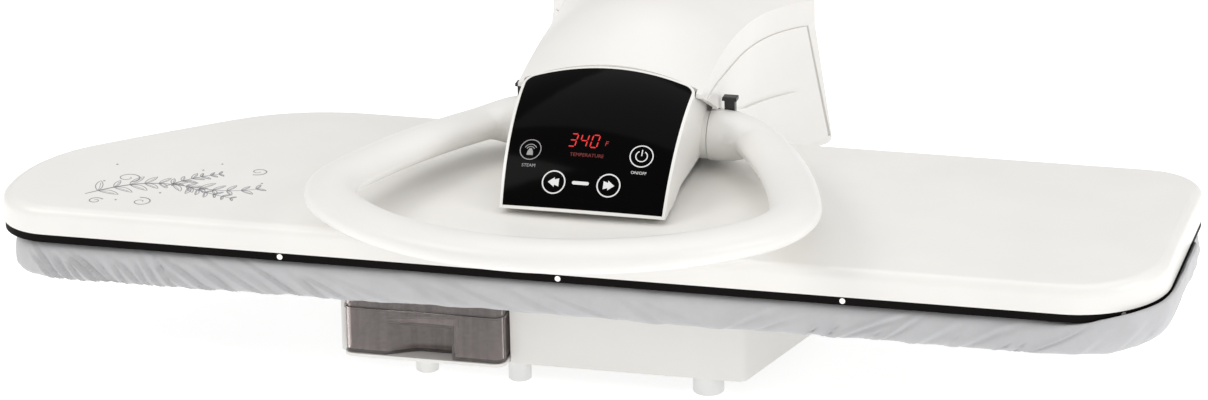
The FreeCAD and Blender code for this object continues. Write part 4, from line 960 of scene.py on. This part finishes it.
def leafy_stem(rng, line, count, leaf_size, weight):
    """Tapering stem with pairs of veined leaves that get smaller towards its tip."""
    stem = [line(k / count) for k in range(count + 1)]
    widths = [0.5 + weight * (1 - k / count) * min(1.0, 0.3 + k / 12) for k in range(count + 1)]
    shapes = [stroke(stem, widths)]
    for k in range(4, count, LEAF_EVERY):
        x, y = stem[k]
        ahead = math.atan2(stem[k + 1][1] - y, stem[k + 1][0] - x)
        for way in (-1, 1):
            size = leaf_size * rng.uniform(0.75, 1.1) * (1 - 0.45 * k / count)
            turn = ahead + way * rng.uniform(0.6, 0.95)
            blade = leaf(size, size * 0.19, way * size * 0.12)
            vein = [(0, 0), (size * 0.4, way * size * 0.02), (size * 0.8, way * size * 0.08)]
            shapes.append(stroke(turned(blade, turn, x, y), 0.75, closed=True))
            shapes.append(stroke(turned(vein, turn, x, y), 0.5))
    return shapes


def casing_ornament():
    """Leaf spray with curling tendrils near the nose of the casing, of the builder's own drawing."""
    top = Surface("upper_casing")
    rng = random.Random(ORNAMENT_SEED)
    shapes = []
    for line, count, leaf_size, weight in STEMS:
        shapes += leafy_stem(rng, line, count, leaf_size, weight)
    shapes += [curl(*row) for row in CURLS]
    for _ in range(DOTS):
        x, y = rng.uniform(-70, 76), rng.uniform(-46, 46)
        shapes.append(disc([(x + px, y + py) for px, py in arc_points(1.1, 0, 330, 11)]))
    place = Vector((ORNAMENT_X + SHIFT_X, ORNAMENT_Y + SHIFT_Y, ABOVE_CASING)) * MM
    spot = top.hit(place, Vector((0, 0, -1)))
    lay("casing_ornament", join(*shapes), top, spot, ORNAMENT_ACROSS, "arm", print_ink)


panel_marks()
casing_ornament()


# Floor and light

FLOOR_HALF = 14.0
FLOOR_GLOW = 0.70
WORLD_STRENGTH = 0.56
PURE_WHITE = (1.0, 1.0, 1.0)

# Area lights: name, place, aim, size, watts and colour
LIGHTS = (
    ("key", (-1.8, -1.4, 2.4), (0, 0, 0.1), (1.6, 1.4), 27.0, (1.0, 0.99, 0.975)),
    ("top", (0.2, 0.5, 3.0), (0, 0, 0.1), (3.2, 2.4), 30.0, PURE_WHITE),
    ("right", (3.0, -0.6, 1.4), (0.1, 0, 0.15), (1.6, 1.8), 29.0, PURE_WHITE),
    ("front", (0.9, -3.6, 0.9), (0, 0, 0.1), (3.2, 1.2), 9.5, PURE_WHITE),
)


def make_stage():
    """Pale floor with a glow of its own, so that it stays even far from the lights."""
    a = FLOOR_HALF
    mesh = bpy.data.meshes.new("floor")
    mesh.from_pydata([(-a, -a, 0), (a, -a, 0), (a, a, 0), (-a, a, 0)], [], [(0, 1, 2, 3)])
    floor = bpy.data.objects.new("floor", mesh)
    s = Shader("floor", (0.62, 0.62, 0.62), 0.9)
    s.shades(s.noise(3.0), 0.004)
    s.set("Specular IOR Level", 0.1)
    s.set("Emission Color", (*PURE_WHITE, 1.0))
    s.set("Emission Strength", FLOOR_GLOW)
    mesh.materials.append(s.material)
    scene.collection.objects.link(floor)


def make_light(name, place, aim, size, power, color):
    data = bpy.data.lights.new(name, "AREA")
    data.shape = "RECTANGLE"
    data.size, data.size_y = size
    data.energy = power
    data.color = color
    light = bpy.data.objects.new(name, data)
    light.location = place
    light.rotation_euler = (Vector(aim) - Vector(place)).to_track_quat("-Z", "Y").to_euler()
    scene.collection.objects.link(light)


def make_world():
    """Even white surroundings."""
    world = bpy.data.worlds.new("studio")
    world.use_nodes = True
    background = world.node_tree.nodes["Background"]
    background.inputs["Color"].default_value = (*PURE_WHITE, 1.0)
    background.inputs["Strength"].default_value = WORLD_STRENGTH
    scene.world = world


make_stage()
for light_row in LIGHTS:
    make_light(*light_row)
make_world()
scene.view_settings.view_transform = "Standard"
